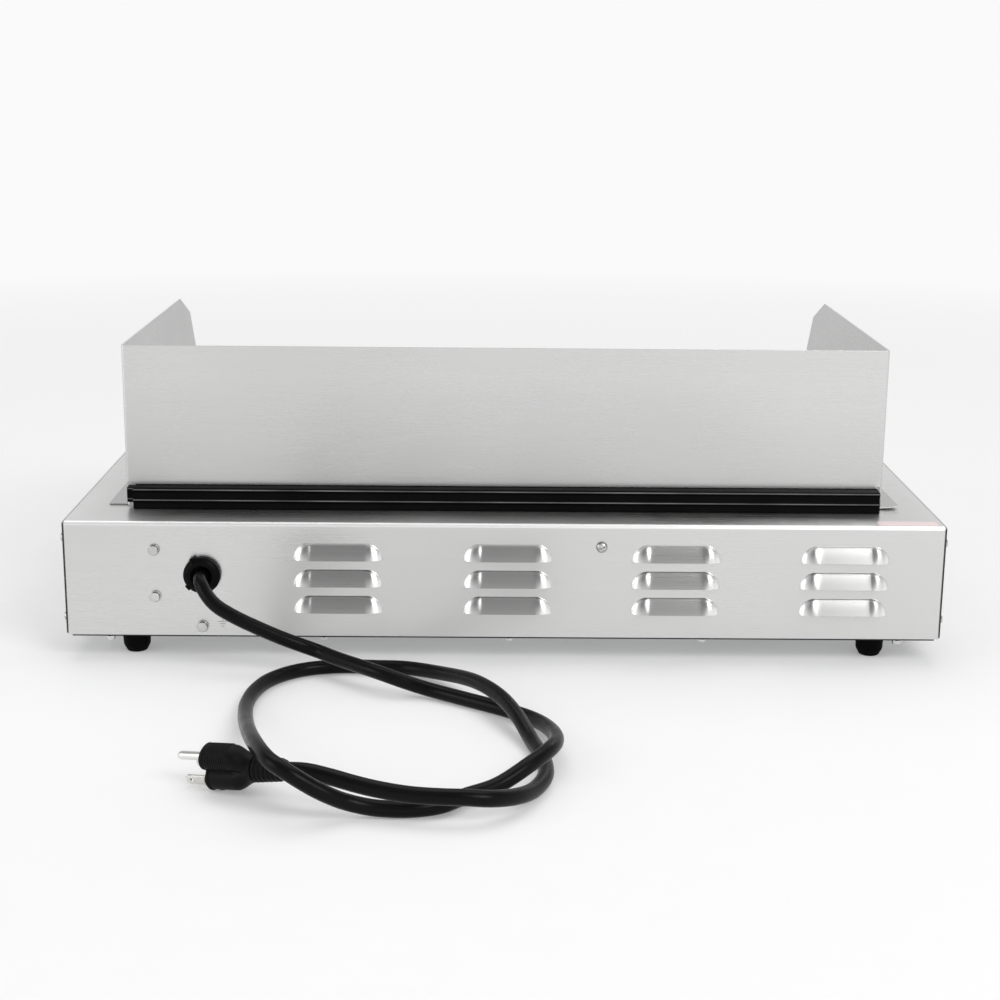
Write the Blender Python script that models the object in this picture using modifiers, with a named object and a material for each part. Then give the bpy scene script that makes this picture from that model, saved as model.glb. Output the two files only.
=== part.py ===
"""Hot dog roller grill, modelled as an assembly of separate parts.

Frame: metres, +Z up, z = 0 is the counter. The front (knobs and drip tray) faces -Y, the rear
panel with the cord faces +Y, and left is -X. Dimensions below are in millimetres, and many
places in Y are given as a distance in front of the rear face, turned into Y by back().
"""
import math
from collections import namedtuple

import bmesh
import bpy
from mathutils import Matrix, Vector

for old in list(bpy.data.objects):
    bpy.data.objects.remove(old, do_unlink=True)

# ---------------------------------------------------------- shared dimensions
MM = 0.001
WIDTH = 585.0            # over the side covers
DEPTH = 430.0            # front face to rear face
FOOT_H = 16.0            # underside of the bottom pan above the counter
DECK_Z = 95.3            # top of the deck above the counter
REAR_Y = 93.8            # rear face, so that the whole object's box is centred
FRONT_Y = REAR_Y - DEPTH
SHEET = 1.0              # stainless sheet
GAP = 0.3                # clearance between neighbouring pieces
BEHIND_SHEET = SHEET + GAP
HOLE_CLEARANCE = 0.4     # radial, round what passes through the rear panel
WRAP_HALF = WIDTH / 2 - BEHIND_SHEET
WRAP_BOTTOM = 17.3
PAN_TOP = 20.4

ROLLERS = 9
ROLLER_PITCH = 36.0
FIRST_ROLLER = 69.0      # first axis, from the rear face
ROLLER_Z = 82.0
JOURNAL_R = 5.0
ROD_R = 3.0
WALL_X = 254.4           # inner face of the end walls
WALL_SHEET = 1.2         # end walls and rod holders
SPROCKET_X = 269.5       # middle plane of the sprockets, on the -X side
MOTOR_BACK = 30.0        # motor axis, from the rear face
MOTOR_Z = 62.0
TRAY_REAR = 64.0         # rear end of the drip tray and its rails, from the rear face

# front controls
KNOB_XS = {"left": 100.0, "right": 190.0}
CONTROL_Z = 69.0
SWITCH_X, PILOT_X = -190.0, -150.0
SWITCH_HALF_W, SWITCH_HALF_H = 7.0, 12.5

# rear panel
BOLT_X = 232.4
CORD_R = 4.65
CORD_X, CORD_Z = 200.7, 59.9
RELIEF_NECK_R = 9.3      # strain relief where it passes through the panel

Fastener = namedtuple("Fastener", "name x z head_r head_h shank_r length")
TERMINAL_BOLTS = [
    Fastener("terminal_bolt_upper", BOLT_X, 76.4, 3.9, 3.0, 2.0, 11.0),
    Fastener("terminal_bolt_lower", BOLT_X, 44.3, 3.9, 3.0, 2.0, 11.0),
]
EARTH_BOLT = Fastener("earth_bolt", 201.5, 23.7, 4.1, 3.2, 2.0, 10.0)
PANEL_SCREW = Fastener("rear_panel_screw", -64.0, 80.1, 3.7, 2.4, 1.8, 8.0)
FASTENERS = [*TERMINAL_BOLTS, EARTH_BOLT, PANEL_SCREW]

SIDES = (("left", -1), ("right", 1))
ALONG_X = (1, 0, 0)
TO_FRONT = (0, -1, 0)
TO_REAR = (0, 1, 0)
SMOOTH_ANGLE = math.radians(35)


def back(distance):
    """Y of a point at this distance in front of the rear face."""
    return REAR_Y - distance


ROLLER_YS = [back(FIRST_ROLLER + i * ROLLER_PITCH) for i in range(ROLLERS)]   # rear to front

# ------------------------------------------------------------------ materials
Finish = namedtuple("Finish", "colour roughness metallic")
STEEL = (0.70, 0.70, 0.69)
BLACK = (0.02, 0.02, 0.02)

PANEL_STEEL = Finish(STEEL, roughness=0.32, metallic=1.0)
TRAY_STEEL = Finish(STEEL, roughness=0.35, metallic=1.0)
GUARD_STEEL = Finish(STEEL, roughness=0.30, metallic=1.0)
DULL_STEEL = Finish((0.50, 0.50, 0.50), roughness=0.45, metallic=1.0)
ROLLER_CHROME = Finish((0.78, 0.78, 0.77), roughness=0.18, metallic=1.0)
ROD_METAL = Finish((0.30, 0.29, 0.28), roughness=0.5, metallic=1.0)
CHAIN_METAL = Finish((0.35, 0.34, 0.33), roughness=0.45, metallic=1.0)
SPROCKET_METAL = Finish((0.45, 0.44, 0.43), roughness=0.4, metallic=1.0)
MOTOR_METAL = Finish((0.55, 0.55, 0.55), roughness=0.4, metallic=1.0)
THERMOSTAT_METAL = Finish((0.55, 0.54, 0.52), roughness=0.4, metallic=1.0)
BOLT_METAL = Finish((0.72, 0.72, 0.72), roughness=0.3, metallic=1.0)
PLUG_METAL = Finish((0.80, 0.79, 0.76), roughness=0.3, metallic=1.0)
BEARING_PLASTIC = Finish((0.85, 0.85, 0.82), roughness=0.5, metallic=0.0)
TERMINAL_PLASTIC = Finish((0.80, 0.78, 0.72), roughness=0.55, metallic=0.0)
ROCKER_RED = Finish((0.35, 0.02, 0.02), roughness=0.35, metallic=0.0)
PILOT_RED = Finish((0.75, 0.10, 0.03), roughness=0.2, metallic=0.0)
FOOT_RUBBER = Finish(BLACK, roughness=0.7, metallic=0.0)
SEAL_RUBBER = Finish(BLACK, roughness=0.6, metallic=0.0)
PLUG_RUBBER = Finish(BLACK, roughness=0.5, metallic=0.0)     # plug body and strain relief
CORD_RUBBER = Finish(BLACK, roughness=0.45, metallic=0.0)
KNOB_PLASTIC = Finish(BLACK, roughness=0.45, metallic=0.0)
SWITCH_PLASTIC = Finish(BLACK, roughness=0.4, metallic=0.0)


def material(name, finish):
    result = bpy.data.materials.new(name)
    result.use_nodes = True
    shader = result.node_tree.nodes["Principled BSDF"]
    shader.inputs["Base Color"].default_value = (*finish.colour, 1.0)
    shader.inputs["Roughness"].default_value = finish.roughness
    shader.inputs["Metallic"].default_value = finish.metallic
    result.diffuse_color = (*finish.colour, 1.0)
    return result


# ---------------------------------------------------------- objects and meshes
parts = bpy.data.collections.new("hot_dog_roller_grill")
tools = bpy.data.collections.new("cutters")
bpy.context.scene.collection.children.link(parts)
bpy.context.scene.collection.children.link(tools)


def finish_part(obj, finish):
    """Puts a finished piece in the parts collection with a material of its own."""
    parts.objects.link(obj)
    obj.data.materials.append(material(obj.name + "_mat", finish))


def combine(obj, helper, operation):
    """Boolean modifier with a helper object, which is kept as a hidden tool."""
    tools.objects.link(helper)
    helper.hide_render = True
    helper.display_type = "WIRE"
    modifier = obj.modifiers.new(operation.lower(), "BOOLEAN")
    modifier.operation = operation
    modifier.solver = "EXACT"
    modifier.object = helper


def mesh_object(name, shape):
    """Object from a bmesh, which is freed."""
    bmesh.ops.recalc_face_normals(shape, faces=shape.faces)
    mesh = bpy.data.meshes.new(name)
    shape.to_mesh(mesh)
    shape.free()
    return bpy.data.objects.new(name, mesh)


def convert(obj, name):
    """Plain mesh of a curve or an object with modifiers, in its own coordinates.

    The object, not yet in the scene, is removed.
    """
    bpy.context.scene.collection.objects.link(obj)
    bpy.context.view_layer.update()
    depsgraph = bpy.context.evaluated_depsgraph_get()
    mesh = bpy.data.meshes.new_from_object(obj.evaluated_get(depsgraph))
    mesh.name = name
    shape = bmesh.new()
    shape.from_mesh(mesh)
    bmesh.ops.remove_doubles(shape, verts=shape.verts, dist=1e-6)
    bmesh.ops.recalc_face_normals(shape, faces=shape.faces)
    shape.to_mesh(mesh)
    shape.free()
    bpy.data.objects.remove(obj, do_unlink=True)
    return mesh


def align_z(axis):
    """Rotation that takes +Z to the axis."""
    return Vector((0, 0, 1)).rotation_difference(Vector(axis).normalized())


def add_box(shape, low, high):
    low, high = Vector(low) * MM, Vector(high) * MM
    scale = Matrix.Diagonal((*(high - low), 1.0))
    bmesh.ops.create_cube(shape, size=1.0, matrix=Matrix.Translation((low + high) / 2) @ scale)


def add_cylinder(shape, start, axis, radius, length, segments):
    middle = Vector(start) * MM + Vector(axis) * length * MM / 2
    bmesh.ops.create_cone(shape, cap_ends=True, cap_tris=False, segments=segments,
                          radius1=radius * MM, radius2=radius * MM, depth=length * MM,
                          matrix=Matrix.Translation(middle) @ align_z(axis).to_matrix().to_4x4())


def boxes(name, corner_pairs):
    shape = bmesh.new()
    for low, high in corner_pairs:
        add_box(shape, low, high)
    return mesh_object(name, shape)


def box(name, low, high):
    return boxes(name, [(low, high)])


def cylinder(name, *sizes):
    shape = bmesh.new()
    add_cylinder(shape, *sizes)
    return mesh_object(name, shape)


def facing_box(x, z, half_x, half_z, low_y, high_y):
    """Low and high corners of a box centred on (x, z)."""
    return (x - half_x, low_y, z - half_z), (x + half_x, high_y, z + half_z)


def mirrored(sign, inner, outer):
    """Low and high X of a span at these distances from the middle, on one side."""
    return sorted((sign * inner, sign * outer))


PLANES = {
    # local x, y (outline) and z (thickness) to world
    "XY": Matrix(((1, 0, 0, 0), (0, 1, 0, 0), (0, 0, 1, 0), (0, 0, 0, 1))),
    "YZ": Matrix(((0, 0, 1, 0), (1, 0, 0, 0), (0, 1, 0, 0), (0, 0, 0, 1))),
    "XZ": Matrix(((1, 0, 0, 0), (0, 0, -1, 0), (0, 1, 0, 0), (0, 0, 0, 1))),
}


def plate(name, outlines, plane, low, high):
    """A flat plate: the first outline is its edge, the others are holes."""
    curve = bpy.data.curves.new(name, "CURVE")
    curve.dimensions = "2D"
    curve.fill_mode = "BOTH"
    curve.extrude = (high - low) / 2 * MM
    for outline in outlines:
        spline = curve.splines.new("POLY")
        spline.points.add(len(outline) - 1)
        for point, (across, up) in zip(spline.points, outline):
            point.co = (across * MM, up * MM, 0, 1)
        spline.use_cyclic_u = True
    mesh = convert(bpy.data.objects.new(name + "_curve", curve), name)
    # the XZ plane's thickness runs along -Y
    middle = (high + low) / 2 * MM * (-1 if plane == "XZ" else 1)
    mesh.transform(PLANES[plane] @ Matrix.Translation((0, 0, middle)))
    return bpy.data.objects.new(name, mesh)


def lathe_mesh(name, profile, segments):
    """Turned piece about Z. profile: (radius, height); a closed loop unless both ends are
    on the axis."""
    shape = bmesh.new()
    verts = [shape.verts.new((radius * MM, 0, height * MM)) for radius, height in profile]
    for pair in zip(verts, verts[1:]):
        shape.edges.new(pair)
    if profile[0][0] > 0 or profile[-1][0] > 0:
        shape.edges.new((verts[-1], verts[0]))
    outline = bpy.data.meshes.new(name)
    shape.to_mesh(outline)
    shape.free()
    obj = bpy.data.objects.new(name, outline)
    screw = obj.modifiers.new("turn", "SCREW")
    screw.axis = "Z"
    screw.angle = 2 * math.pi
    screw.steps = screw.render_steps = segments
    screw.use_merge_vertices = True
    screw.merge_threshold = 0.00001
    screw.use_smooth_shade = True
    mesh = convert(obj, name)
    mesh.set_sharp_from_angle(angle=SMOOTH_ANGLE)
    return mesh


def lathe(name, profile, axis, origin, segments):
    """Turned piece standing on its origin, with heights measured along the axis."""
    obj = bpy.data.objects.new(name, lathe_mesh(name, profile, segments))
    obj.rotation_mode = "QUATERNION"
    obj.rotation_quaternion = align_z(axis)
    obj.location = Vector(origin) * MM
    return obj


# ------------------------------------------------------------------- outlines
def polar(x, y, radius, angle):
    return x + radius * math.cos(angle), y + radius * math.sin(angle)


def circle(x, y, radius, segments, turn=0.0):
    return [polar(x, y, radius, turn + 2 * math.pi * i / segments) for i in range(segments)]


def rect(x0, y0, x1, y1, radius=0.0):
    """Rectangle, with its corners rounded in three steps if a radius is given."""
    if not radius:
        return [(x0, y0), (x1, y0), (x1, y1), (x0, y1)]
    corners = ((x1 - radius, y0 + radius, -90), (x1 - radius, y1 - radius, 0),
               (x0 + radius, y1 - radius, 90), (x0 + radius, y0 + radius, 180))
    return [polar(x, y, radius, math.radians(start + 90 * i / 3))
            for x, y, start in corners for i in range(4)]


def bent_sheet(corners, thickness, radius):
    """Section of a sheet bent along a path of outside corners that all turn right.

    The material lies to the right of the path; radius is the outside bend radius.
    """
    steps = 4
    points = [Vector(corner) for corner in corners]
    headings = [(end - start).normalized() for start, end in zip(points, points[1:])]
    rights = [Vector((heading.y, -heading.x)) for heading in headings]

    def offset_path(offset):
        path = [tuple(points[0] + rights[0] * offset)]
        for corner, before, after, right in zip(points[1:], headings, headings[1:], rights):
            turn = math.atan2(before.x * after.y - before.y * after.x, before.dot(after))
            tangent_length = radius * math.tan(abs(turn) / 2)
            centre = corner - before * tangent_length + right * radius
            start = math.atan2(-right.y, -right.x)
            for k in range(steps + 1):
                path.append(polar(centre.x, centre.y, radius - offset, start + turn * k / steps))
        path.append(tuple(points[-1] + rights[-1] * offset))
        return path

    return offset_path(0.0) + offset_path(thickness)[::-1]


def above_deck(points):
    """(distance from the rear face, height above the deck) to (y, z)."""
    return [(back(distance), DECK_Z + height) for distance, height in points]


# ----------------------------------------------------- housing wrap (one sheet)
BEND_R = 2.5                                      # outside bend radius
LOUVER_COLUMNS = (-226.0, -113.7, -2.0, 110.8)    # centres across the rear
LOUVER_ROWS = (69.9, 51.8, 33.6)                  # lower edges above the counter
LOUVER_W, LOUVER_H, LOUVER_OUT = 57.0, 11.4, 5.6
LOUVER_END = 8.0                                  # length of each rounded end
LOUVER_STRAIGHT = LOUVER_W - 2 * LOUVER_END
OPEN_HALF = 253.0                                 # deck opening
OPEN_REAR, OPEN_FRONT = 51.0, 378.0               # from the rear face
SLOT_HALF, SLOT_BOTTOM, SLOT_TOP = 251.5, 21.5, 41.0     # drip tray slot
CONTROL_HOLE_R = 5.0                              # knob shafts and pilot light
CUT_REACH = 5.0                                   # how far cutters pass a panel face


def add_blister(shape, x, z, radii, drop, inner_y):
    """Upper half of a long rounded blister that bulges towards +Y.

    It is cut off flat at `drop` below z and at `inner_y` from the rear face.
    """
    part = bmesh.new()
    bmesh.ops.create_uvsphere(part, u_segments=12, v_segments=5, radius=1.0,
                              matrix=Matrix.Rotation(math.radians(90), 4, "Y"))
    end_r, out_r, up_r = radii
    for vert in part.verts:
        sign = 1 if vert.co.x > 0 else -1
        vert.co = Vector((vert.co.x * end_r + sign * LOUVER_STRAIGHT / 2,
                          vert.co.y * out_r, vert.co.z * up_r)) * MM
    for point, normal in (((0, 0, -drop * MM), (0, 0, 1)), ((0, inner_y * MM, 0), (0, 1, 0))):
        geometry = part.verts[:] + part.edges[:] + part.faces[:]
        cut = bmesh.ops.bisect_plane(part, geom=geometry, dist=1e-7, plane_co=point,
                                     plane_no=normal, clear_inner=True)
        rim = [item for item in cut["geom_cut"] if isinstance(item, bmesh.types.BMEdge)]
        bmesh.ops.contextual_create(part, geom=rim)
    bmesh.ops.remove_doubles(part, verts=part.verts, dist=1e-6)
    bmesh.ops.translate(part, verts=part.verts, vec=Vector((x, REAR_Y, z)) * MM)
    # bmeshes are merged by way of a mesh
    carrier = bpy.data.meshes.new("hood")
    part.to_mesh(carrier)
    part.free()
    shape.from_mesh(carrier)
    bpy.data.meshes.remove(carrier)


def add_louvers(housing):
    """Pressed hoods on the rear panel, hollow and open below."""
    hood_radii = (LOUVER_END, LOUVER_OUT, LOUVER_H)
    window_radii = (LOUVER_END - 1.1, LOUVER_OUT - 1.0, LOUVER_H - 0.9)
    hoods, windows = bmesh.new(), bmesh.new()
    for x in LOUVER_COLUMNS:
        for z in LOUVER_ROWS:
            add_blister(hoods, x, z, hood_radii, drop=0.0, inner_y=-0.5)
            add_blister(windows, x, z - 0.3, window_radii, drop=0.4, inner_y=-3.1)
    combine(housing, mesh_object("louver_hoods", hoods), "UNION")
    combine(housing, mesh_object("louver_windows", windows), "DIFFERENCE")


def cut_panel_holes(housing):
    cuts = bmesh.new()

    def drill(x, panel_y, z, radius, segments):
        add_cylinder(cuts, (x, panel_y - CUT_REACH, z), TO_REAR, radius, 2 * CUT_REACH, segments)

    front_span = (FRONT_Y - CUT_REACH, FRONT_Y + CUT_REACH)
    add_box(cuts, (-SLOT_HALF, front_span[0], SLOT_BOTTOM), (SLOT_HALF, front_span[1], SLOT_TOP))
    for x in KNOB_XS.values():
        drill(x, FRONT_Y, CONTROL_Z, CONTROL_HOLE_R, 12)
    add_box(cuts, *facing_box(SWITCH_X, CONTROL_Z, SWITCH_HALF_W + GAP, SWITCH_HALF_H + GAP,
                              *front_span))
    drill(PILOT_X, FRONT_Y, CONTROL_Z, CONTROL_HOLE_R, 12)
    for item in FASTENERS:
        drill(item.x, REAR_Y, item.z, item.shank_r + HOLE_CLEARANCE, 10)
    drill(CORD_X, REAR_Y, CORD_Z, RELIEF_NECK_R + HOLE_CLEARANCE, 20)
    combine(housing, mesh_object("housing_holes", cuts), "DIFFERENCE")


def add_side_tabs(housing):
    """Upright tabs inside the front and rear panels, near the side edges."""
    pairs = []
    for _, sign in SIDES:
        x0, x1 = mirrored(sign, WRAP_HALF - 1.6, WRAP_HALF - 0.6)
        for y0, y1 in ((REAR_Y - 14, REAR_Y - 0.5), (FRONT_Y + 0.5, FRONT_Y + 14)):
            pairs.append(((x0, y0, 24.0), (x1, y1, 88.0)))
    combine(housing, boxes("side_tabs", pairs), "UNION")


def build_housing():
    """Front panel, deck and rear panel in one bent sheet."""
    section = bent_sheet([(FRONT_Y, WRAP_BOTTOM), (FRONT_Y, DECK_Z), (REAR_Y, DECK_Z),
                          (REAR_Y, WRAP_BOTTOM)], SHEET, BEND_R)
    housing = plate("housing_wrap", [section], "YZ", -WRAP_HALF, WRAP_HALF)
    add_louvers(housing)
    cut_panel_holes(housing)
    opening = rect(-OPEN_HALF, back(OPEN_FRONT), OPEN_HALF, back(OPEN_REAR), 4.0)
    combine(housing, plate("deck_opening", [opening], "XY", DECK_Z - 6, DECK_Z + 4), "DIFFERENCE")
    add_side_tabs(housing)
    finish_part(housing, PANEL_STEEL)


# ------------------------------------------- side covers, bottom pan and feet
PAN_HALF = 289.0
PAN_INSET = 1.4          # from the front and rear faces
FOOT_X = 250.0
FOOT_INSET = 21.5        # foot axes from the front and rear faces
FOOT_PROFILE = [         # radius, height above the counter
    (0, FOOT_H - GAP), (8.4, FOOT_H - GAP), (8.4, 11.0), (8.1, 4.0), (7.4, 1.2), (6.2, 0.0),
    (0, 0),
]


def build_side_covers():
    outline = rect(FRONT_Y, WRAP_BOTTOM, REAR_Y, DECK_Z, 2.0)
    for side, sign in SIDES:
        span = mirrored(sign, WRAP_HALF + GAP, WIDTH / 2)
        finish_part(plate("side_cover_" + side, [outline], "YZ", *span), PANEL_STEEL)


def build_bottom_pan():
    inside_half, inside_inset = PAN_HALF - SHEET, PAN_INSET + SHEET
    pan = box("bottom_pan", (-PAN_HALF, FRONT_Y + PAN_INSET, FOOT_H),
              (PAN_HALF, REAR_Y - PAN_INSET, PAN_TOP))
    inside = box("pan_inside", (-inside_half, FRONT_Y + inside_inset, FOOT_H + SHEET),
                 (inside_half, REAR_Y - inside_inset, 30.0))
    combine(pan, inside, "DIFFERENCE")
    finish_part(pan, DULL_STEEL)


def build_feet():
    for end, distance in (("rear", FOOT_INSET), ("front", DEPTH - FOOT_INSET)):
        for side, sign in SIDES:
            foot = lathe("foot_%s_%s" % (end, side), FOOT_PROFILE, (0, 0, 1),
                         (sign * FOOT_X, back(distance), 0), 16)
            finish_part(foot, FOOT_RUBBER)


# ------------------------------------------------------ end walls and carriers
WALL_INSET = 2.9         # from the front and rear faces
WALL_BOTTOM = 17.4
CARRIER_X = WALL_X + WALL_SHEET + GAP    # inner face of strips and holder legs
STRIP_THICK = 5.0
HOLDER_X = 280.0
HOLDER_REAR, HOLDER_FRONT = 8.0, 388.0   # from the rear face
HOLDER_HALF_H = 7.0
RAIL_INNER_X = 238.0
RAIL_TOP = 36.0


def roller_holes(radius, segments, turn=0.0):
    return [circle(y, ROLLER_Z, radius, segments, turn) for y in ROLLER_YS]


def build_end_wall(side, sign):
    outline = rect(back(DEPTH - WALL_INSET), WALL_BOTTOM, back(WALL_INSET), DECK_Z - BEHIND_SHEET)
    holes = roller_holes(6.2, 8, math.pi / 8)
    if side == "left":
        holes.append(circle(back(MOTOR_BACK), MOTOR_Z, 5.0, 8))
    span = mirrored(sign, WALL_X, WALL_X + WALL_SHEET)
    finish_part(plate("end_wall_" + side, [outline] + holes, "YZ", *span), DULL_STEEL)


def build_bearing_strip(side, sign):
    outline = rect(ROLLER_YS[-1] - 14, ROLLER_Z - 8, ROLLER_YS[0] + 14, ROLLER_Z + 8)
    span = mirrored(sign, CARRIER_X, CARRIER_X + STRIP_THICK)
    strip = plate("bearing_strip_" + side, [outline] + roller_holes(JOURNAL_R + GAP, 12),
                  "YZ", *span)
    finish_part(strip, BEARING_PLASTIC)


def build_rod_holder(side, sign):
    """Plate that carries the ends of the heating rods, with a leg to the wall at each end."""
    low_z, high_z = ROLLER_Z - HOLDER_HALF_H, ROLLER_Z + HOLDER_HALF_H
    outline = rect(back(HOLDER_FRONT), low_z, back(HOLDER_REAR), high_z)
    holder = plate("rod_holder_" + side, [outline] + roller_holes(ROD_R + GAP, 8, math.pi / 8),
                   "YZ", *mirrored(sign, HOLDER_X, HOLDER_X + WALL_SHEET))
    x0, x1 = mirrored(sign, CARRIER_X, HOLDER_X + 0.4)
    legs = [((x0, back(distance), low_z), (x1, back(distance - WALL_SHEET), high_z))
            for distance in (HOLDER_FRONT, HOLDER_REAR + WALL_SHEET)]
    combine(holder, boxes("rod_holder_legs_" + side, legs), "UNION")
    finish_part(holder, DULL_STEEL)


def build_tray_rail(side, sign):
    """L section along the inner face of the end wall."""
    outer_x, bottom = WALL_X - GAP, PAN_TOP + GAP
    section = [(sign * x, z) for x, z in (
        (RAIL_INNER_X, bottom), (outer_x, bottom), (outer_x, RAIL_TOP),
        (outer_x - SHEET, RAIL_TOP), (outer_x - SHEET, bottom + SHEET),
        (RAIL_INNER_X, bottom + SHEET))]
    if sign < 0:
        section.reverse()
    rail = plate("tray_rail_" + side, [section], "XZ", back(DEPTH - 6), back(TRAY_REAR))
    finish_part(rail, DULL_STEEL)


# ----------------------------------------------------- rollers and heating rods
ROLLER_R = 12.7
ROLLER_HALF = 252.0
ROLLER_EDGE_R, ROLLER_CHAMFER = 11.9, 0.8    # end face radius and chamfer length
TUBE_INNER_R = 11.4
ROLLER_END_THICK = 3.0
BORE_R = 3.6
JOURNAL_END, DRIVE_END = 266.0, -276.0       # journal ends; the -X one carries the gear
GEAR_HALF = 1.5                              # half thickness of the sprocket discs
TEETH = 9
TOOTH_TIP_R, TOOTH_ROOT_R = 10.0, 7.8
ROD_BODY_END, ROD_TIP_END, ROD_TIP_R = 284, 288, 1.4


def sprocket_outline():
    # radius and place within one tooth pitch, 0 to 1
    tooth = ((TOOTH_ROOT_R, 0.12), (TOOTH_TIP_R, 0.38), (TOOTH_TIP_R, 0.62), (TOOTH_ROOT_R, 0.88))
    return [polar(0, 0, radius, 2 * math.pi * (k + place) / TEETH)
            for k in range(TEETH) for radius, place in tooth]


def mesh_along_x(name, profile, segments):
    mesh = lathe_mesh(name, profile, segments)
    mesh.transform(align_z(ALONG_X).to_matrix().to_4x4())
    return mesh


def roller_mesh():
    """Hollow roller with journals and a sprocket, with its middle at the origin."""
    inner_end = ROLLER_HALF - ROLLER_END_THICK
    chamfer_end = ROLLER_HALF - ROLLER_CHAMFER
    profile = [          # radius, x
        (JOURNAL_R, JOURNAL_END), (JOURNAL_R, ROLLER_HALF), (ROLLER_EDGE_R, ROLLER_HALF),
        (ROLLER_R, chamfer_end), (ROLLER_R, -chamfer_end), (ROLLER_EDGE_R, -ROLLER_HALF),
        (JOURNAL_R, -ROLLER_HALF), (JOURNAL_R, DRIVE_END), (BORE_R, DRIVE_END),
        (BORE_R, -inner_end), (TUBE_INNER_R, -inner_end), (TUBE_INNER_R, inner_end),
        (BORE_R, inner_end), (BORE_R, JOURNAL_END),
    ]
    pattern = bpy.data.objects.new("roller_pattern", mesh_along_x("roller_pattern", profile, 14))
    gear = plate("roller_gear", [sprocket_outline(), circle(0, 0, 4.3, 9)], "YZ",
                 -SPROCKET_X - GEAR_HALF, -SPROCKET_X + GEAR_HALF)
    combine(pattern, gear, "UNION")
    mesh = convert(pattern, "roller_pattern_mesh")
    mesh.set_sharp_from_angle(angle=SMOOTH_ANGLE)
    bpy.data.objects.remove(gear, do_unlink=True)
    return mesh


def rod_mesh():
    profile = [          # radius, x
        (0, ROD_TIP_END), (ROD_TIP_R, ROD_TIP_END), (ROD_TIP_R, ROD_BODY_END),
        (ROD_R, ROD_BODY_END), (ROD_R, -ROD_BODY_END), (ROD_TIP_R, -ROD_BODY_END),
        (ROD_TIP_R, -ROD_TIP_END), (0, -ROD_TIP_END),
    ]
    return mesh_along_x("rod_pattern", profile, 8)


def place_on_axes(name, mesh, finish):
    """One object per roller axis, all sharing the mesh and its material."""
    mesh.materials.append(material(name + "_mat", finish))
    for i, y in enumerate(ROLLER_YS):
        obj = bpy.data.objects.new("%s_%d" % (name, i + 1), mesh)
        obj.location = (0, y * MM, ROLLER_Z * MM)
        parts.objects.link(obj)


# ------------------------------------------------------------- chain and drive
CHAIN_IN_R, CHAIN_OUT_R = 10.35, 11.9
CHAIN_HALF_W = 2.2
MOTOR_PROFILE = [        # radius, height towards -X from the wall's inner face
    (3.4, 0), (24.0, 0), (24.0, -12), (21.5, -13), (21.5, -30), (19.0, -31.5), (0, -31.5),
    (0, -10), (3.4, -10),
]


def chain_line(radius):
    """Loop at a constant radius round the drive sprocket, frontmost and rearmost rollers."""
    steps = 8
    centres = [Vector((back(MOTOR_BACK), MOTOR_Z)), Vector((ROLLER_YS[-1], ROLLER_Z)),
               Vector((ROLLER_YS[0], ROLLER_Z))]
    outline = []
    for i, centre in enumerate(centres):
        before = (centre - centres[i - 1]).normalized()
        after = (centres[(i + 1) % 3] - centre).normalized()
        # the loop runs clockwise in (y, z), so outward is to the left
        start_out = Vector((-before.y, before.x))
        end_out = Vector((-after.y, after.x))
        start = math.atan2(start_out.y, start_out.x)
        turn = math.atan2(start_out.x * end_out.y - start_out.y * end_out.x,
                          start_out.dot(end_out))
        outline += [polar(centre.x, centre.y, radius, start + turn * k / steps)
                    for k in range(steps + 1)]
    return outline


def build_chain():
    chain = plate("drive_chain", [chain_line(CHAIN_OUT_R), chain_line(CHAIN_IN_R)], "YZ",
                  -SPROCKET_X - CHAIN_HALF_W, -SPROCKET_X + CHAIN_HALF_W)
    finish_part(chain, CHAIN_METAL)


def build_drive():
    """Motor inside the left end wall and its shaft and sprocket beyond it."""
    drive = lathe("drive_sprocket", [(0, 20), (3.0, 20), (3.0, -6), (0, -6)], ALONG_X,
                  (-SPROCKET_X, back(MOTOR_BACK), MOTOR_Z), 12)
    gear = plate("drive_gear_plate", [sprocket_outline()], "YZ", -GEAR_HALF, GEAR_HALF)
    gear.location = drive.location
    combine(drive, gear, "UNION")
    finish_part(drive, SPROCKET_METAL)
    motor = lathe("drive_motor", MOTOR_PROFILE, (-1, 0, 0),
                  (-(WALL_X - GAP), back(MOTOR_BACK), MOTOR_Z), 24)
    finish_part(motor, MOTOR_METAL)


# ------------------------------------------------------------------ drip tray
TRAY_HALF = 250.0
TRAY_BOTTOM, TRAY_TOP = 22.0, 38.0
TRAY_FRONT = FRONT_Y - GAP                   # rear side of the tray's face plate
FACE_HALF, FACE_BOTTOM, FACE_TOP, FACE_THICK = 254.0, 19.0, 43.5, 1.3
LIP_TOP, LIP_BOTTOM, LIP_REACH, LIP_HALF = 30.9, 24.5, 13.0, 60.0


def build_drip_tray():
    tray = box("drip_tray", (-TRAY_HALF, TRAY_FRONT - 0.6, TRAY_BOTTOM),
               (TRAY_HALF, back(TRAY_REAR), TRAY_TOP))
    hollow = box("tray_hollow", (-TRAY_HALF + SHEET, FRONT_Y + 2.0, TRAY_BOTTOM + SHEET),
                 (TRAY_HALF - SHEET, back(TRAY_REAR + SHEET), 50.0))
    combine(tray, hollow, "DIFFERENCE")
    face = box("tray_face", (-FACE_HALF, TRAY_FRONT - FACE_THICK, FACE_BOTTOM),
               (FACE_HALF, TRAY_FRONT, FACE_TOP))
    combine(tray, face, "UNION")
    lip_front = TRAY_FRONT - LIP_REACH
    lip = bent_sheet([(lip_front, LIP_BOTTOM), (lip_front, LIP_TOP), (TRAY_FRONT - 0.4, LIP_TOP)],
                     thickness=1.2, radius=2.0)
    combine(tray, plate("tray_lip", [lip], "YZ", -LIP_HALF, LIP_HALF), "UNION")
    finish_part(tray, TRAY_STEEL)


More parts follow.
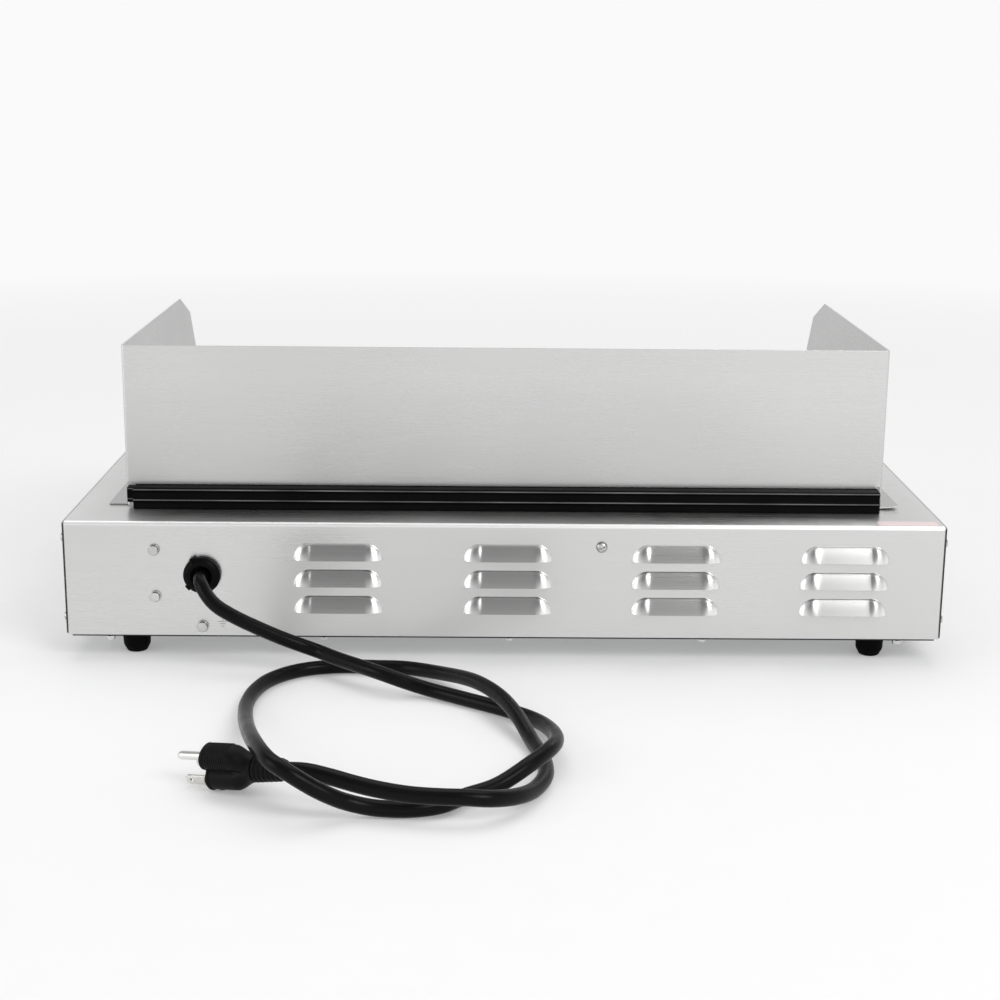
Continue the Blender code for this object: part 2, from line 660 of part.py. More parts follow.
# --------------------------------------------------------------- splash guard
GUARD_REAR, GUARD_FRONT = 44.6, 400.0    # from the rear face
GUARD_HALF = 257.7
GUARD_H = 110.2                          # above the deck
GUARD_GAP_H = 15.0                       # the rear panel's lower edge above the deck
FLANGE_OUT = 270.0
# the guard seen from the side: distance from the rear face, height above the deck
GUARD_SIDE_VIEW = [
    (397.5, GAP - 1), (40, GAP - 1), (40, GUARD_H + 2), (276, GUARD_H + 2), (280, GUARD_H),
    (325, 93.5),
]
# section of the seal strip: distance from the rear face, height above the deck
SEAL_PROFILE = [
    (34.0, 0.3), (34.3, 4.6), (33.6, 5.6), (33.6, 6.7), (34.3, 7.6), (34.9, 11.8), (34.3, 12.6),
    (34.5, 13.6), (36.0, 14.5), (44.2, 14.7), (45.9, 14.7), (45.9, 24.0), (48.4, 24.0),
    (48.4, 0.3),
]


def build_splash_guard():
    """Sheet bent into a U that is open to the front, with sloping front edges."""
    bottom = DECK_Z + GAP
    front, rear = back(GUARD_FRONT), back(GUARD_REAR)
    plan = bent_sheet([(-GUARD_HALF, front), (-GUARD_HALF, rear), (GUARD_HALF, rear),
                       (GUARD_HALF, front)], SHEET, radius=2.0)
    guard = plate("splash_guard", [plan], "XY", bottom, DECK_Z + GUARD_H)
    combine(guard, plate("guard_side_view", [above_deck(GUARD_SIDE_VIEW)], "YZ", -265, 265),
            "INTERSECT")
    slot = box("guard_slot", (-256.0, back(47), DECK_Z - 2), (256.0, back(43), DECK_Z + GUARD_GAP_H))
    combine(guard, slot, "DIFFERENCE")
    # small notches at the rear corners, and flanges that lie on the deck outside the sides
    notches, flanges = [], []
    for _, sign in SIDES:
        x0, x1 = mirrored(sign, 254.2, 259.0)
        notches.append(((x0, back(47.4), DECK_Z + 12.0), (x1, back(43), DECK_Z + 16.6)))
        x0, x1 = mirrored(sign, GUARD_HALF - 0.8, FLANGE_OUT)
        flanges.append(((x0, back(396.3), bottom), (x1, back(47.0), bottom + SHEET)))
    combine(guard, boxes("guard_notch", notches), "DIFFERENCE")
    combine(guard, boxes("guard_flange", flanges), "UNION")
    finish_part(guard, GUARD_STEEL)


def build_seal_strip():
    seal = plate("guard_seal_strip", [above_deck(SEAL_PROFILE)], "YZ", -254.5, 251.5)
    finish_part(seal, SEAL_RUBBER)


# ------------------------------------------------------------- front controls
THERMOSTAT_HALF = 16.0
POCKET_HALF_W, POCKET_HALF_H = 5.6, 11.0
# radius, height out from the panel; the skirt stands clear of the panel
KNOB_PROFILE = [
    (3.4, 18.0), (0, 18.0), (0, 22.5), (12.2, 22.5), (13.2, 21.4), (13.9, 6.5), (18.6, 4.2),
    (19.2, 3.0), (19.2, 1.8), (3.4, 1.8),
]
PILOT_PROFILE = [
    (0, 5.2), (2.6, 4.7), (4.4, 3.4), (5.2, 1.6), (6.6, 1.6), (6.6, 0.3), (4.7, 0.3), (4.7, -14),
    (3.0, -14), (3.0, -18), (0, -18),
]
# rocker seen from the side, a shallow V outside: up along the rocker, out of the panel
ROCKER_PROFILE = [
    (-5.4, 0.0), (-10.0, 0.0), (-10.4, 1.0), (-9.6, 6.6), (0.0, 4.6), (9.6, 6.6), (10.4, 1.0),
    (10.0, 0.0), (5.4, 0.0), (2.5, -3.5), (-2.5, -3.5),
]
ROCKER_TILT = math.radians(8.0)          # off position: lower half pressed in


def build_thermostat(side, x):
    """Body behind the panel, with a bush and a shaft out through it."""
    body = box("thermostat_" + side,
               *facing_box(x, CONTROL_Z, THERMOSTAT_HALF, THERMOSTAT_HALF,
                           FRONT_Y + BEHIND_SHEET, FRONT_Y + 27))
    bush = cylinder("bush_" + side, (x, FRONT_Y + 6, CONTROL_Z), TO_FRONT, 4.6, 7.5, 12)
    shaft = cylinder("shaft_" + side, (x, FRONT_Y + 4, CONTROL_Z), TO_FRONT, 3.0, 20, 12)
    combine(body, bush, "UNION")
    combine(body, shaft, "UNION")
    finish_part(body, THERMOSTAT_METAL)


def build_knob(side, x):
    knob = lathe("knob_" + side, KNOB_PROFILE, TO_FRONT, (x, FRONT_Y, CONTROL_Z), 28)
    bar = box("knob_bar_" + side, (-2.6, -12.6, 20.0), (2.6, 12.6, 25.5))
    bar.rotation_mode = "QUATERNION"
    bar.rotation_quaternion = knob.rotation_quaternion
    bar.location = knob.location
    combine(knob, bar, "UNION")
    finish_part(knob, KNOB_PLASTIC)


def build_switch():
    housing = box("power_switch_housing",
                  *facing_box(SWITCH_X, CONTROL_Z, SWITCH_HALF_W, SWITCH_HALF_H,
                              FRONT_Y - 1.0, FRONT_Y + 18))
    outline = rect(SWITCH_X - 9, CONTROL_Z - 15, SWITCH_X + 9, CONTROL_Z + 15, 1.5)
    bezel = plate("switch_bezel", [outline], "XZ", FRONT_Y - 2.2, FRONT_Y - GAP)
    pocket = box("switch_pocket", *facing_box(SWITCH_X, CONTROL_Z, POCKET_HALF_W, POCKET_HALF_H,
                                              FRONT_Y - 6, FRONT_Y + 10))
    combine(housing, bezel, "UNION")
    combine(housing, pocket, "DIFFERENCE")
    finish_part(housing, SWITCH_PLASTIC)


def build_rocker():
    """Rocker with its origin on the middle of the switch, just behind the panel face."""
    outline = [(-(out + up * math.sin(ROCKER_TILT)), up * math.cos(ROCKER_TILT))
               for up, out in ROCKER_PROFILE]
    half = POCKET_HALF_W - GAP
    rocker = plate("power_rocker", [outline], "YZ", -half, half)
    rocker.location = Vector((SWITCH_X, FRONT_Y + 0.5, CONTROL_Z)) * MM
    finish_part(rocker, ROCKER_RED)


def build_pilot_light():
    pilot = lathe("pilot_light", PILOT_PROFILE, TO_FRONT, (PILOT_X, FRONT_Y, CONTROL_Z), 20)
    finish_part(pilot, PILOT_RED)


# ------------------------- rear fasteners, terminal block and strain relief
# radius, height out from the rear face
RELIEF_PROFILE = [
    (CORD_R + 2.0, 9.5), (8.0, 9.5), (8.8, 6.8), (11.6, 5.0), (12.25, 3.8), (12.25, GAP),
    (RELIEF_NECK_R, GAP), (RELIEF_NECK_R, -11), (8.0, -13), (CORD_R + 0.45, -13),
    (CORD_R + 0.45, 3.0),
]
RELIEF_NOTCHES = 8


def build_fastener(item):
    """Domed bolt or screw; the panel screw's head has a cross recess."""
    profile = [
        (0, item.head_h), (item.head_r * 0.45, item.head_h * 0.96),
        (item.head_r * 0.8, item.head_h * 0.72), (item.head_r, item.head_h * 0.3),
        (item.head_r, GAP), (item.shank_r, GAP), (item.shank_r, -item.length), (0, -item.length),
    ]
    bolt = lathe(item.name, profile, TO_REAR, (item.x, REAR_Y, item.z), 16)
    if item is PANEL_SCREW:
        head_y = REAR_Y + item.head_h
        for suffix, half_x, half_z in (("_slot_a", 2.1, 0.45), ("_slot_b", 0.45, 2.1)):
            corners = facing_box(item.x, item.z, half_x, half_z, head_y - 0.9, head_y + 1)
            combine(bolt, box(item.name + suffix, *corners), "DIFFERENCE")
    finish_part(bolt, BOLT_METAL)


def build_terminal_block():
    """Block behind the rear panel, with bolt holes and three slots in its inner side."""
    inner_y = REAR_Y - 20
    slot_end = REAR_Y - 14
    block = box("terminal_block", (BOLT_X - 10, inner_y, 38.0),
                (BOLT_X + 10, REAR_Y - BEHIND_SHEET, 83.0))
    cuts = bmesh.new()
    for bolt in TERMINAL_BOLTS:
        add_cylinder(cuts, (BOLT_X, slot_end, bolt.z), TO_REAR, bolt.shank_r + HOLE_CLEARANCE,
                     16, 10)
    for k in range(3):
        low_z = 49.4 + k * 7.5
        add_box(cuts, (BOLT_X - 8, inner_y - 4, low_z), (BOLT_X + 8, slot_end, low_z + 5.0))
    combine(block, mesh_object("terminal_cuts", cuts), "DIFFERENCE")
    finish_part(block, TERMINAL_PLASTIC)


def build_strain_relief():
    relief = lathe("strain_relief", RELIEF_PROFILE, TO_REAR, (CORD_X, REAR_Y, CORD_Z), 20)
    size = Matrix.Diagonal((3.0 * MM, 5.0 * MM, 2.2 * MM, 1.0))
    notches = bmesh.new()
    for k in range(RELIEF_NOTCHES):
        angle = 2 * math.pi * (k + 0.5) / RELIEF_NOTCHES
        x, z = polar(CORD_X, CORD_Z, 12.4, angle)
        place = Matrix.Translation(Vector((x, REAR_Y + 4.6, z)) * MM)
        bmesh.ops.create_cube(notches, size=1.0,
                              matrix=place @ Matrix.Rotation(-angle, 4, "Y") @ size)
    combine(relief, mesh_object("relief_notches", notches), "DIFFERENCE")
    finish_part(relief, PLUG_RUBBER)


# ------------------------------------------------------------ cord and plug
# The plug rests on the counter, rolled to one side. Its frame has its origin in the front
# face, x out along the blades, y across the two blades, z from the blades to the earth pin.
PLUG_FACE = Vector((161.0, REAR_Y + 215.5, 9.0))
PLUG_TURN = math.radians(26.5)
PLUG_TIP = math.radians(-8.0)
PLUG_ROLL = math.radians(24.7)
BLADE_Y = 6.35           # blades either side of the middle
PIN_Z = 11.9             # earth pin axis
PLUG_CORD_Z = 4.5        # cord axis

plug_x = Vector((math.cos(PLUG_TURN) * math.cos(PLUG_TIP),
                 -math.sin(PLUG_TURN) * math.cos(PLUG_TIP), math.sin(PLUG_TIP)))
level_axis = Vector((math.sin(PLUG_TURN), math.cos(PLUG_TURN), 0.0))
raised_axis = plug_x.cross(level_axis)
plug_y = level_axis * math.cos(PLUG_ROLL) - raised_axis * math.sin(PLUG_ROLL)
plug_z = level_axis * math.sin(PLUG_ROLL) + raised_axis * math.cos(PLUG_ROLL)
plug_frame = (Matrix.Translation(PLUG_FACE * MM)
              @ Matrix((plug_x, plug_y, plug_z)).transposed().to_4x4())

# The cord's route from inside the housing to the plug: x, distance behind the rear face, z
CORD_ROUTE = [
    (CORD_X, -20, CORD_Z), (CORD_X, 0, CORD_Z), (CORD_X, 9, CORD_Z),
    (194.5, 21, 55.6), (169, 36, 38.8), (139, 42, 26.0), (114, 40, 16.6),
    (88, 46, 8.4), (58, 61, 5.0), (23, 86, 5.0), (-1, 106, 5.0),
    (-18, 126, 6.2), (-26.5, 152, 9.6), (-28, 176, 13.2), (-23.5, 196, 15.6),
    (-13, 211, 13.4), (6, 226, 6.4), (25, 239, 5.0), (44, 251, 5.0),
    (63.0, 257.5, 5.2), (83.7, 261.1, 8.0), (102.2, 260.4, 16.0), (118.9, 249.7, 26.0),
    (131.6, 231.0, 31.0), (141.8, 206.5, 27.0), (150.8, 167.5, 16.0), (157.6, 122.7, 7.5),
    (158.0, 84.0, 5.0), (149, 54, 5.0), (134, 35, 5.0), (116, 26, 5.0),
    (92, 23, 5.0), (67, 28, 5.0), (43, 45, 7.6), (19, 79, 14.0),
    (3, 110, 14.9), (-7, 134, 11.2), (-14.5, 156, 5.4), (-19, 176, 5.0),
    (-21.5, 195, 5.0), (-20.5, 211, 5.0), (-14, 230, 5.6), (-3, 249, 9.6),
    (11, 261, 13.6), (26.0, 262.6, 15.6), (42.0, 255.9, 16.4), (56.3, 255.1, 17.4),
    (72.0, 255.6, 18.6), (88.2, 248.5, 20.6),
]
CORD_IN_PLUG = (-60, -47, -40)           # last points of the route, x in the plug's frame
CORD_STEP = 12.0


def blend(first, second, first_knot, second_knot, knot):
    span = second_knot - first_knot
    return first * ((second_knot - knot) / span) + second * ((knot - first_knot) / span)


def smooth_route(points, step):
    """Centripetal Catmull-Rom curve through the points, cut into nearly equal steps."""
    points = [points[0] * 2 - points[1]] + points + [points[-1] * 2 - points[-2]]
    fine = []
    for p0, p1, p2, p3 in zip(points, points[1:], points[2:], points[3:]):
        t0 = 0.0
        t1 = t0 + (p1 - p0).length ** 0.5
        t2 = t1 + (p2 - p1).length ** 0.5
        t3 = t2 + (p3 - p2).length ** 0.5
        for k in range(16):
            knot = t1 + (t2 - t1) * k / 16
            a1 = blend(p0, p1, t0, t1, knot)
            a2 = blend(p1, p2, t1, t2, knot)
            a3 = blend(p2, p3, t2, t3, knot)
            b1 = blend(a1, a2, t0, t2, knot)
            b2 = blend(a2, a3, t1, t3, knot)
            fine.append(blend(b1, b2, t1, t2, knot))
    fine.append(points[-2])
    route, run = [fine[0]], 0.0
    for start, end in zip(fine, fine[1:]):
        run += (end - start).length
        if run >= step:
            route.append(end)
            run = 0.0
    # end exactly on the last point, without a very short last step
    if (route[-1] - fine[-1]).length > step * 0.5:
        route.append(fine[-1])
    else:
        route[-1] = fine[-1]
    return route


def build_cord():
    points = [Vector((x, REAR_Y + distance, z)) for x, distance, z in CORD_ROUTE]
    points += [PLUG_FACE + plug_x * along + plug_z * PLUG_CORD_Z for along in CORD_IN_PLUG]
    route = smooth_route(points, CORD_STEP)
    curve = bpy.data.curves.new("power_cord_curve", "CURVE")
    curve.dimensions = "3D"
    curve.bevel_depth = CORD_R * MM
    curve.bevel_resolution = 2
    curve.use_fill_caps = True
    spline = curve.splines.new("POLY")
    spline.points.add(len(route) - 1)
    for point, place in zip(spline.points, route):
        point.co = (*(place * MM), 1)
    mesh = convert(bpy.data.objects.new("power_cord_curve", curve), "power_cord")
    mesh.polygons.foreach_set("use_smooth", [True] * len(mesh.polygons))
    finish_part(bpy.data.objects.new("power_cord", mesh), CORD_RUBBER)


# plug body sections: x, half width in y, low z, high z, squareness (2 is an ellipse)
PLUG_SECTIONS = [
    (0, 10.4, -5.6, 16.0, 3.2),
    (-1.2, 11.4, -6.6, 17.0, 3.2),
    (-15, 11.4, -6.6, 17.0, 3.2),
    (-22, 8.6, -3.8, 13.0, 2.6),
    (-25, 7.2, -2.7, 11.7, 2.2),
    (-46.5, 5.9, -1.4, 10.4, 2.0),
]
# blade seen from the side, in the plug's x and z
BLADE_OUTLINE = [(-8.5, -3.15), (15.0, -3.15), (17.0, -2.0), (17.0, 2.0), (15.0, 3.15),
                 (-8.5, 3.15)]
PIN_PROFILE = [(0, 21.0), (1.3, 20.8), (2.2, 19.6), (2.4, 18.0), (2.4, -8.5), (0, -8.5)]


def plug_ring(x, half_y, low_z, high_z, power):
    """Superellipse outline of the plug body at x."""
    count = 16
    ring = []
    for i in range(count):
        across, up = polar(0, 0, 1, 2 * math.pi * (i + 0.5) / count)
        y = math.copysign(abs(across) ** (2 / power), across) * half_y
        rise = math.copysign(abs(up) ** (2 / power), up) * (high_z - low_z) / 2
        ring.append((x, y, (high_z + low_z) / 2 + rise))
    return ring


def build_plug_body():
    """Rounded grip that narrows into a sleeve round the cord."""
    shape = bmesh.new()
    rings = [[shape.verts.new(Vector(point) * MM) for point in plug_ring(*row)]
             for row in PLUG_SECTIONS]
    for ring, following in zip(rings, rings[1:]):
        for i in range(len(ring)):
            j = (i + 1) % len(ring)
            shape.faces.new((ring[i], ring[j], following[j], following[i]))
    shape.faces.new(rings[0][::-1])
    shape.faces.new(rings[-1])
    plug = mesh_object("plug_body", shape)
    plug.matrix_world = plug_frame

    cuts = bmesh.new()
    for y in (-BLADE_Y, BLADE_Y):
        add_box(cuts, (-9.0, y - 1.15, -3.55), (4.0, y + 1.15, 3.55))
    add_cylinder(cuts, (-9.0, 0, PIN_Z), ALONG_X, 2.8, 13, 12)
    add_cylinder(cuts, (-52.0, 0, PLUG_CORD_Z), ALONG_X, CORD_R + 0.5, 14.0, 16)
    cutter = mesh_object("plug_cuts", cuts)
    cutter.matrix_world = plug_frame
    combine(plug, cutter, "DIFFERENCE")
    finish_part(plug, PLUG_RUBBER)


def build_plug_contacts():
    for name, y in (("plug_blade_near", BLADE_Y), ("plug_blade_far", -BLADE_Y)):
        blade = plate(name, [BLADE_OUTLINE, circle(13.0, 0, 1.5, 10)], "XZ", y - 0.75, y + 0.75)
        blade.matrix_world = plug_frame
        finish_part(blade, PLUG_METAL)
    pin = lathe("plug_ground_pin", PIN_PROFILE, ALONG_X, (0, 0, PIN_Z), 12)
    pin.matrix_world = plug_frame @ pin.matrix_basis
    finish_part(pin, PLUG_METAL)


# ------------------------------------------------------------------- assembly
build_housing()
build_side_covers()
build_bottom_pan()
build_feet()
for side_name, side_sign in SIDES:
    build_end_wall(side_name, side_sign)
    build_bearing_strip(side_name, side_sign)
    build_rod_holder(side_name, side_sign)
    build_tray_rail(side_name, side_sign)
place_on_axes("roller", roller_mesh(), ROLLER_CHROME)
place_on_axes("heating_rod", rod_mesh(), ROD_METAL)
build_chain()
build_drive()
build_drip_tray()
build_splash_guard()
build_seal_strip()
for side_name, knob_x in KNOB_XS.items():
    build_thermostat(side_name, knob_x)
    build_knob(side_name, knob_x)
build_switch()
build_rocker()
build_pilot_light()
for fastener in FASTENERS:
    build_fastener(fastener)
build_terminal_block()
build_strain_relief()
build_cord()
build_plug_body()
build_plug_contacts()
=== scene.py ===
"""Looks of a hot dog roller grill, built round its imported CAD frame.

The rollers run along X, +Y points to the rear where the cord comes out, and the feet stand on
z = 0. Lengths are in millimetres and MM turns them into metres; shader distances are in metres.
"""

import math
from bisect import bisect_left

import bmesh
import bpy
from mathutils import Matrix, Vector


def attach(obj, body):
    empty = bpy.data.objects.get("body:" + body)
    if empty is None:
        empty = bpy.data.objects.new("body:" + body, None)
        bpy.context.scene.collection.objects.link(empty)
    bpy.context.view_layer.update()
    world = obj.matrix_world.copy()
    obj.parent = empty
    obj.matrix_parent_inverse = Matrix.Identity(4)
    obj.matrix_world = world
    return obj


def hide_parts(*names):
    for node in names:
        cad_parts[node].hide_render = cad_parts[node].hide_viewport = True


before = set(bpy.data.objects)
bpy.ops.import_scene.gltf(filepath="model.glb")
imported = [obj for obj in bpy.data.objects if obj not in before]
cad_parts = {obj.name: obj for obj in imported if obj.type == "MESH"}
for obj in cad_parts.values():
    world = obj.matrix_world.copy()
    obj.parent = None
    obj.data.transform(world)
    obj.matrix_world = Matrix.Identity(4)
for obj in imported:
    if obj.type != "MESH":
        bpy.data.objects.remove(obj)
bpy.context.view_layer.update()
scene = bpy.context.scene
MM = 0.001

# ================================================================= driving dimensions
WIDTH, DEPTH = 585.0, 430.0
FOOT_H, DECK_Z = 16.0, 95.3
REAR_Y = 93.8
FRONT_Y = REAR_Y - DEPTH
SHEET, BEND_R, GAP = 1.0, 2.5, 0.3
WRAP_HALF = WIDTH / 2 - SHEET - GAP
WRAP_BOTTOM = 17.3

# rollers, numbered from the rear
ROLLER_COUNT, ROLLER_R, ROLLER_HALF = 9, 12.7, 252.0
ROLLER_PITCH, ROLLER_Z, FIRST_ROLLER = 36.0, 82.0, 69.0
JOURNAL_R, BORE_R, ROD_R = 5.0, 3.6, 3.0

# chain drive
TEETH, TOOTH_TIP_R, TOOTH_ROOT_R = 9, 10.0, 7.8
SPROCKET_X, MOTOR_BACK, MOTOR_Z = 269.5, 30.0, 62.0
CHAIN_PITCH, CHAIN_LINE_R = 6.35, 10.55

# deck opening and splash guard
OPEN_HALF, OPEN_REAR, OPEN_FRONT = 253.0, 51.0, 378.0
GUARD_BACK, GUARD_HALF, GUARD_H, GUARD_GAP_H = 44.6, 257.7, 110.2, 15.0
GUARD_Z = DECK_Z + GAP
FLANGE_OUT = 270.0

# fittings on the rear panel, as (x, z)
CORD_R, CORD_X, CORD_Z = 4.65, 200.7, 59.9
BOLTS = {
    "terminal_bolt_upper": (232.4, 76.4),
    "terminal_bolt_lower": (232.4, 44.3),
    "earth_bolt": (201.5, 23.7),
}
REAR_SCREW_X, REAR_SCREW_Z = -64.0, 80.1
EARTH_MARK_X, EARTH_MARK_Z = 188.2, 26.4

# controls on the front panel
CONTROL_Z = 69.0
KNOB_XS = {"left": 100.0, "right": 190.0}
SWITCH_X, PILOT_X = -190.0, -150.0


def back(distance):
    """Y at a distance forward of the rear panel."""
    return REAR_Y - distance


# ======================================================================= shader nodes
class Nodes:
    """Short forms for one node tree; a value is a number, a tuple or an output socket."""

    def __init__(self, tree):
        self.tree = tree

    def feed(self, socket, value):
        if isinstance(value, bpy.types.NodeSocket):
            self.tree.links.new(value, socket)
        else:
            socket.default_value = value

    def new(self, kind, inputs, **settings):
        node = self.tree.nodes.new("ShaderNode" + kind)
        for key, value in settings.items():
            setattr(node, key, value)
        for key, value in inputs.items():
            self.feed(node.inputs[key], value)
        return node

    def principled(self, inputs):
        node = self.tree.nodes["Principled BSDF"]
        for key, value in inputs.items():
            self.feed(node.inputs[key], value)
        return node

    def math(self, operation, first, second=None, clamp=False):
        values = (first,) if second is None else (first, second)
        node = self.new("Math", dict(enumerate(values)), operation=operation, use_clamp=clamp)
        return node.outputs[0]

    def times(self, first, second, clamp=False):
        return self.math("MULTIPLY", first, second, clamp)

    def plus(self, first, second, clamp=False):
        return self.math("ADD", first, second, clamp)

    def vector(self, operation, *values):
        return self.new("VectorMath", dict(enumerate(values)), operation=operation).outputs

    def axes(self, kind, output):
        """X, Y and Z sockets of one output of a new geometry or coordinate node."""
        return self.new("SeparateXYZ", {0: self.new(kind, {}).outputs[output]}).outputs

    def normal(self):
        return self.new("NewGeometry", {}).outputs["Normal"]

    def noise(self, scale, detail=2.0, rough=0.5, stretch=(1, 1, 1)):
        coords = self.new("TexCoord", {}).outputs["Object"]
        mapped = self.new("Mapping", {"Scale": stretch, "Vector": coords}).outputs["Vector"]
        return self.new("TexNoise", {"Scale": scale, "Detail": detail, "Roughness": rough,
                                     "Vector": mapped}).outputs["Fac"]

    def remap(self, value, from_min, from_max, to_min=0.0, to_max=1.0):
        return self.new("MapRange", {"From Min": from_min, "From Max": from_max,
                                     "To Min": to_min, "To Max": to_max,
                                     "Value": value}).outputs["Result"]

    def mix(self, factor, first, second):
        """Colour mix; 6, 7 and output 2 are the colour sockets of the Mix node."""
        first, second = ((*c, 1.0) if isinstance(c, tuple) else c for c in (first, second))
        node = self.new("Mix", {}, data_type="RGBA")
        for key, value in ((0, factor), (6, first), (7, second)):
            self.feed(node.inputs[key], value)
        return node.outputs[2]

    def bump(self, height, strength, distance, normal=None):
        inputs = {"Strength": strength, "Distance": distance, "Height": height}
        if normal is not None:
            inputs["Normal"] = normal
        return self.new("Bump", inputs).outputs["Normal"]

    def rounded(self, radius):
        return self.new("Bevel", {"Radius": radius}, samples=4).outputs["Normal"]

    def edge_mask(self, radius):
        """Near 1 along outer and inner edges, 0 on flat areas."""
        alike = self.vector("DOT_PRODUCT", self.rounded(radius), self.normal())["Value"]
        gain = 3.0
        return self.times(self.math("SUBTRACT", 1.0, alike, clamp=True), gain, clamp=True)

    def facing(self, axis, low=0.80, high=0.95):
        """1 on faces that look along one axis, either way, and 0 on the rest."""
        along = self.axes("NewGeometry", "True Normal")[axis]
        return self.remap(self.math("ABSOLUTE", along), low, high)


def new_material(name):
    material = bpy.data.materials.new(name)
    material.use_nodes = True
    return material, Nodes(material.node_tree)


def scaled(colour, factor, lift=0.0):
    return tuple(min(1.0, c * factor + lift) for c in colour)


# =================================================================== brushed materials
def paint_low_shade(nodes, base, colour):
    """Painted shade: the lower part of the sheet is darker, with a noisy edge."""
    low_z, high_z, strength = 0.105, 0.185, 0.42
    height = nodes.axes("TexCoord", "Object")["Z"]
    haze = nodes.noise(1.0, stretch=(3.0, 3.0, 5.0))
    low = nodes.plus(nodes.remap(height, low_z, high_z, 1.0, 0.0),
                     nodes.remap(haze, 0.3, 0.7, -0.35, 0.35), clamp=True)
    return nodes.mix(nodes.times(low, strength), base, scaled(colour, 0.5))


def paint_louver_light(nodes, base, colour):
    """Painted shade on the slanted louver faces and painted highlight on the rounded louver ends.
    """
    strength = 0.7
    axes = nodes.axes("NewGeometry", "Normal")
    shaded_slope = nodes.times(nodes.remap(axes["Z"], 0.25, 0.42), nodes.remap(axes["Y"], 0.70, 0.86))
    base = nodes.mix(nodes.times(shaded_slope, strength), base, scaled(colour, 0.42))
    sideways = nodes.math("ABSOLUTE", axes["X"])
    turned = nodes.times(nodes.remap(sideways, 0.20, 0.42), nodes.remap(axes["Y"], 0.05, 0.25))
    return nodes.mix(turned, base, (0.93, 0.93, 0.925))


def paint_end_highlight(nodes, base):
    """Painted highlight: the flat top is brighter towards its two ends."""
    start_x, full_x, strength = 0.230, 0.288, 0.55
    normal = nodes.axes("NewGeometry", "Normal")
    place_x = nodes.axes("TexCoord", "Object")["X"]
    outward = nodes.remap(nodes.math("ABSOLUTE", place_x), start_x, full_x, 0.0, strength)
    top = nodes.remap(normal["Z"], 0.80, 0.95)
    return nodes.mix(nodes.times(outward, top), base, (0.95, 0.95, 0.945))


def rear_fold(nodes):
    """1 on the bend between the rear panel and the top."""
    normal = nodes.axes("NewGeometry", "Normal")
    height = nodes.axes("TexCoord", "Object")["Z"]
    bend = nodes.times(nodes.remap(normal["Z"], 0.03, 0.15), nodes.remap(normal["Y"], 0.02, 0.12))
    return nodes.times(bend, nodes.remap(height, (DECK_Z - 4.0) * MM, (DECK_Z - 3.0) * MM))


def brushed(name, colour, rough, along=(1, 0, 0), grain=None, aniso=0.6, streak=0.010,
            fine=1400.0, grain_bump=0.022, bevel=0.35, smudge=0.05, wrap=False, guard=False,
            painted_end_highlight=False, gap_shadow_axis=None):
    """Sheet metal brushed along one direction.

    grain names every direction in which the lines run long, fine is their scale across, and
    faces that look along the gap shadow axis get a painted gap shadow.
    """
    material, nodes = new_material(name)
    grain = grain or along
    lines = nodes.noise(1.0, 3.0, 0.6, stretch=[fine * (0.006 if g else 1.0) for g in grain])
    bands = nodes.noise(1.0, stretch=[fine * (0.0015 if g else 0.12) for g in grain])
    spots = nodes.noise(1.0, 3.0, 0.55, stretch=(7, 7, 7))
    tone = nodes.plus(nodes.times(lines, 0.6), nodes.times(bands, 0.4))
    base = nodes.mix(nodes.remap(tone, 0.35, 0.65),
                     scaled(colour, 1 - streak), scaled(colour, 1 + streak))
    base = nodes.mix(nodes.remap(spots, 0.45, 0.75, 0.0, smudge * 2), base, scaled(colour, 0.8))
    worn = nodes.times(nodes.edge_mask(0.0007), 0.25)
    base = nodes.mix(worn, base, scaled(colour, 1.25))
    # painted shade on the lower part of the guard
    if guard:
        base = paint_low_shade(nodes, base, colour)
    # painted shade on the slanted louver faces, painted highlight on their ends
    if wrap:
        base = paint_louver_light(nodes, base, colour)
    # painted highlight towards the ends of the flat top
    if painted_end_highlight:
        base = paint_end_highlight(nodes, base)
    if guard:                                       # painted shade darkens its side walls
        base = nodes.mix(nodes.facing("X"), base, scaled(colour, 0.66))
    if wrap:                                        # painted highlight on the rear top bend
        fold_highlight_mask = rear_fold(nodes)
        base = nodes.mix(fold_highlight_mask, base, (0.97, 0.97, 0.965))
    # painted gap shadow on the faces along the given axis
    if gap_shadow_axis:
        base = nodes.mix(nodes.facing(gap_shadow_axis), base, (0.035, 0.035, 0.035))
    roughness = nodes.plus(nodes.remap(lines, 0.3, 0.7, rough - 0.025, rough + 0.025),
                           nodes.remap(spots, 0.3, 0.8, -smudge, smudge))
    if wrap:
        roughness = nodes.plus(roughness, nodes.times(fold_highlight_mask, 0.14))
    across = nodes.vector("CROSS_PRODUCT", nodes.normal(), along)["Vector"]
    # the small offset keeps a direction on faces square to the brushing
    tangent = nodes.vector("ADD", across, (0.011, 0.013, 0.02))["Vector"]
    nodes.principled({
        "Base Color": base, "Metallic": 1.0, "Roughness": roughness, "Anisotropic": aniso,
        "Tangent": tangent,
        "Normal": nodes.bump(lines, grain_bump, 0.00006, nodes.rounded(bevel * MM)),
    })
    return material


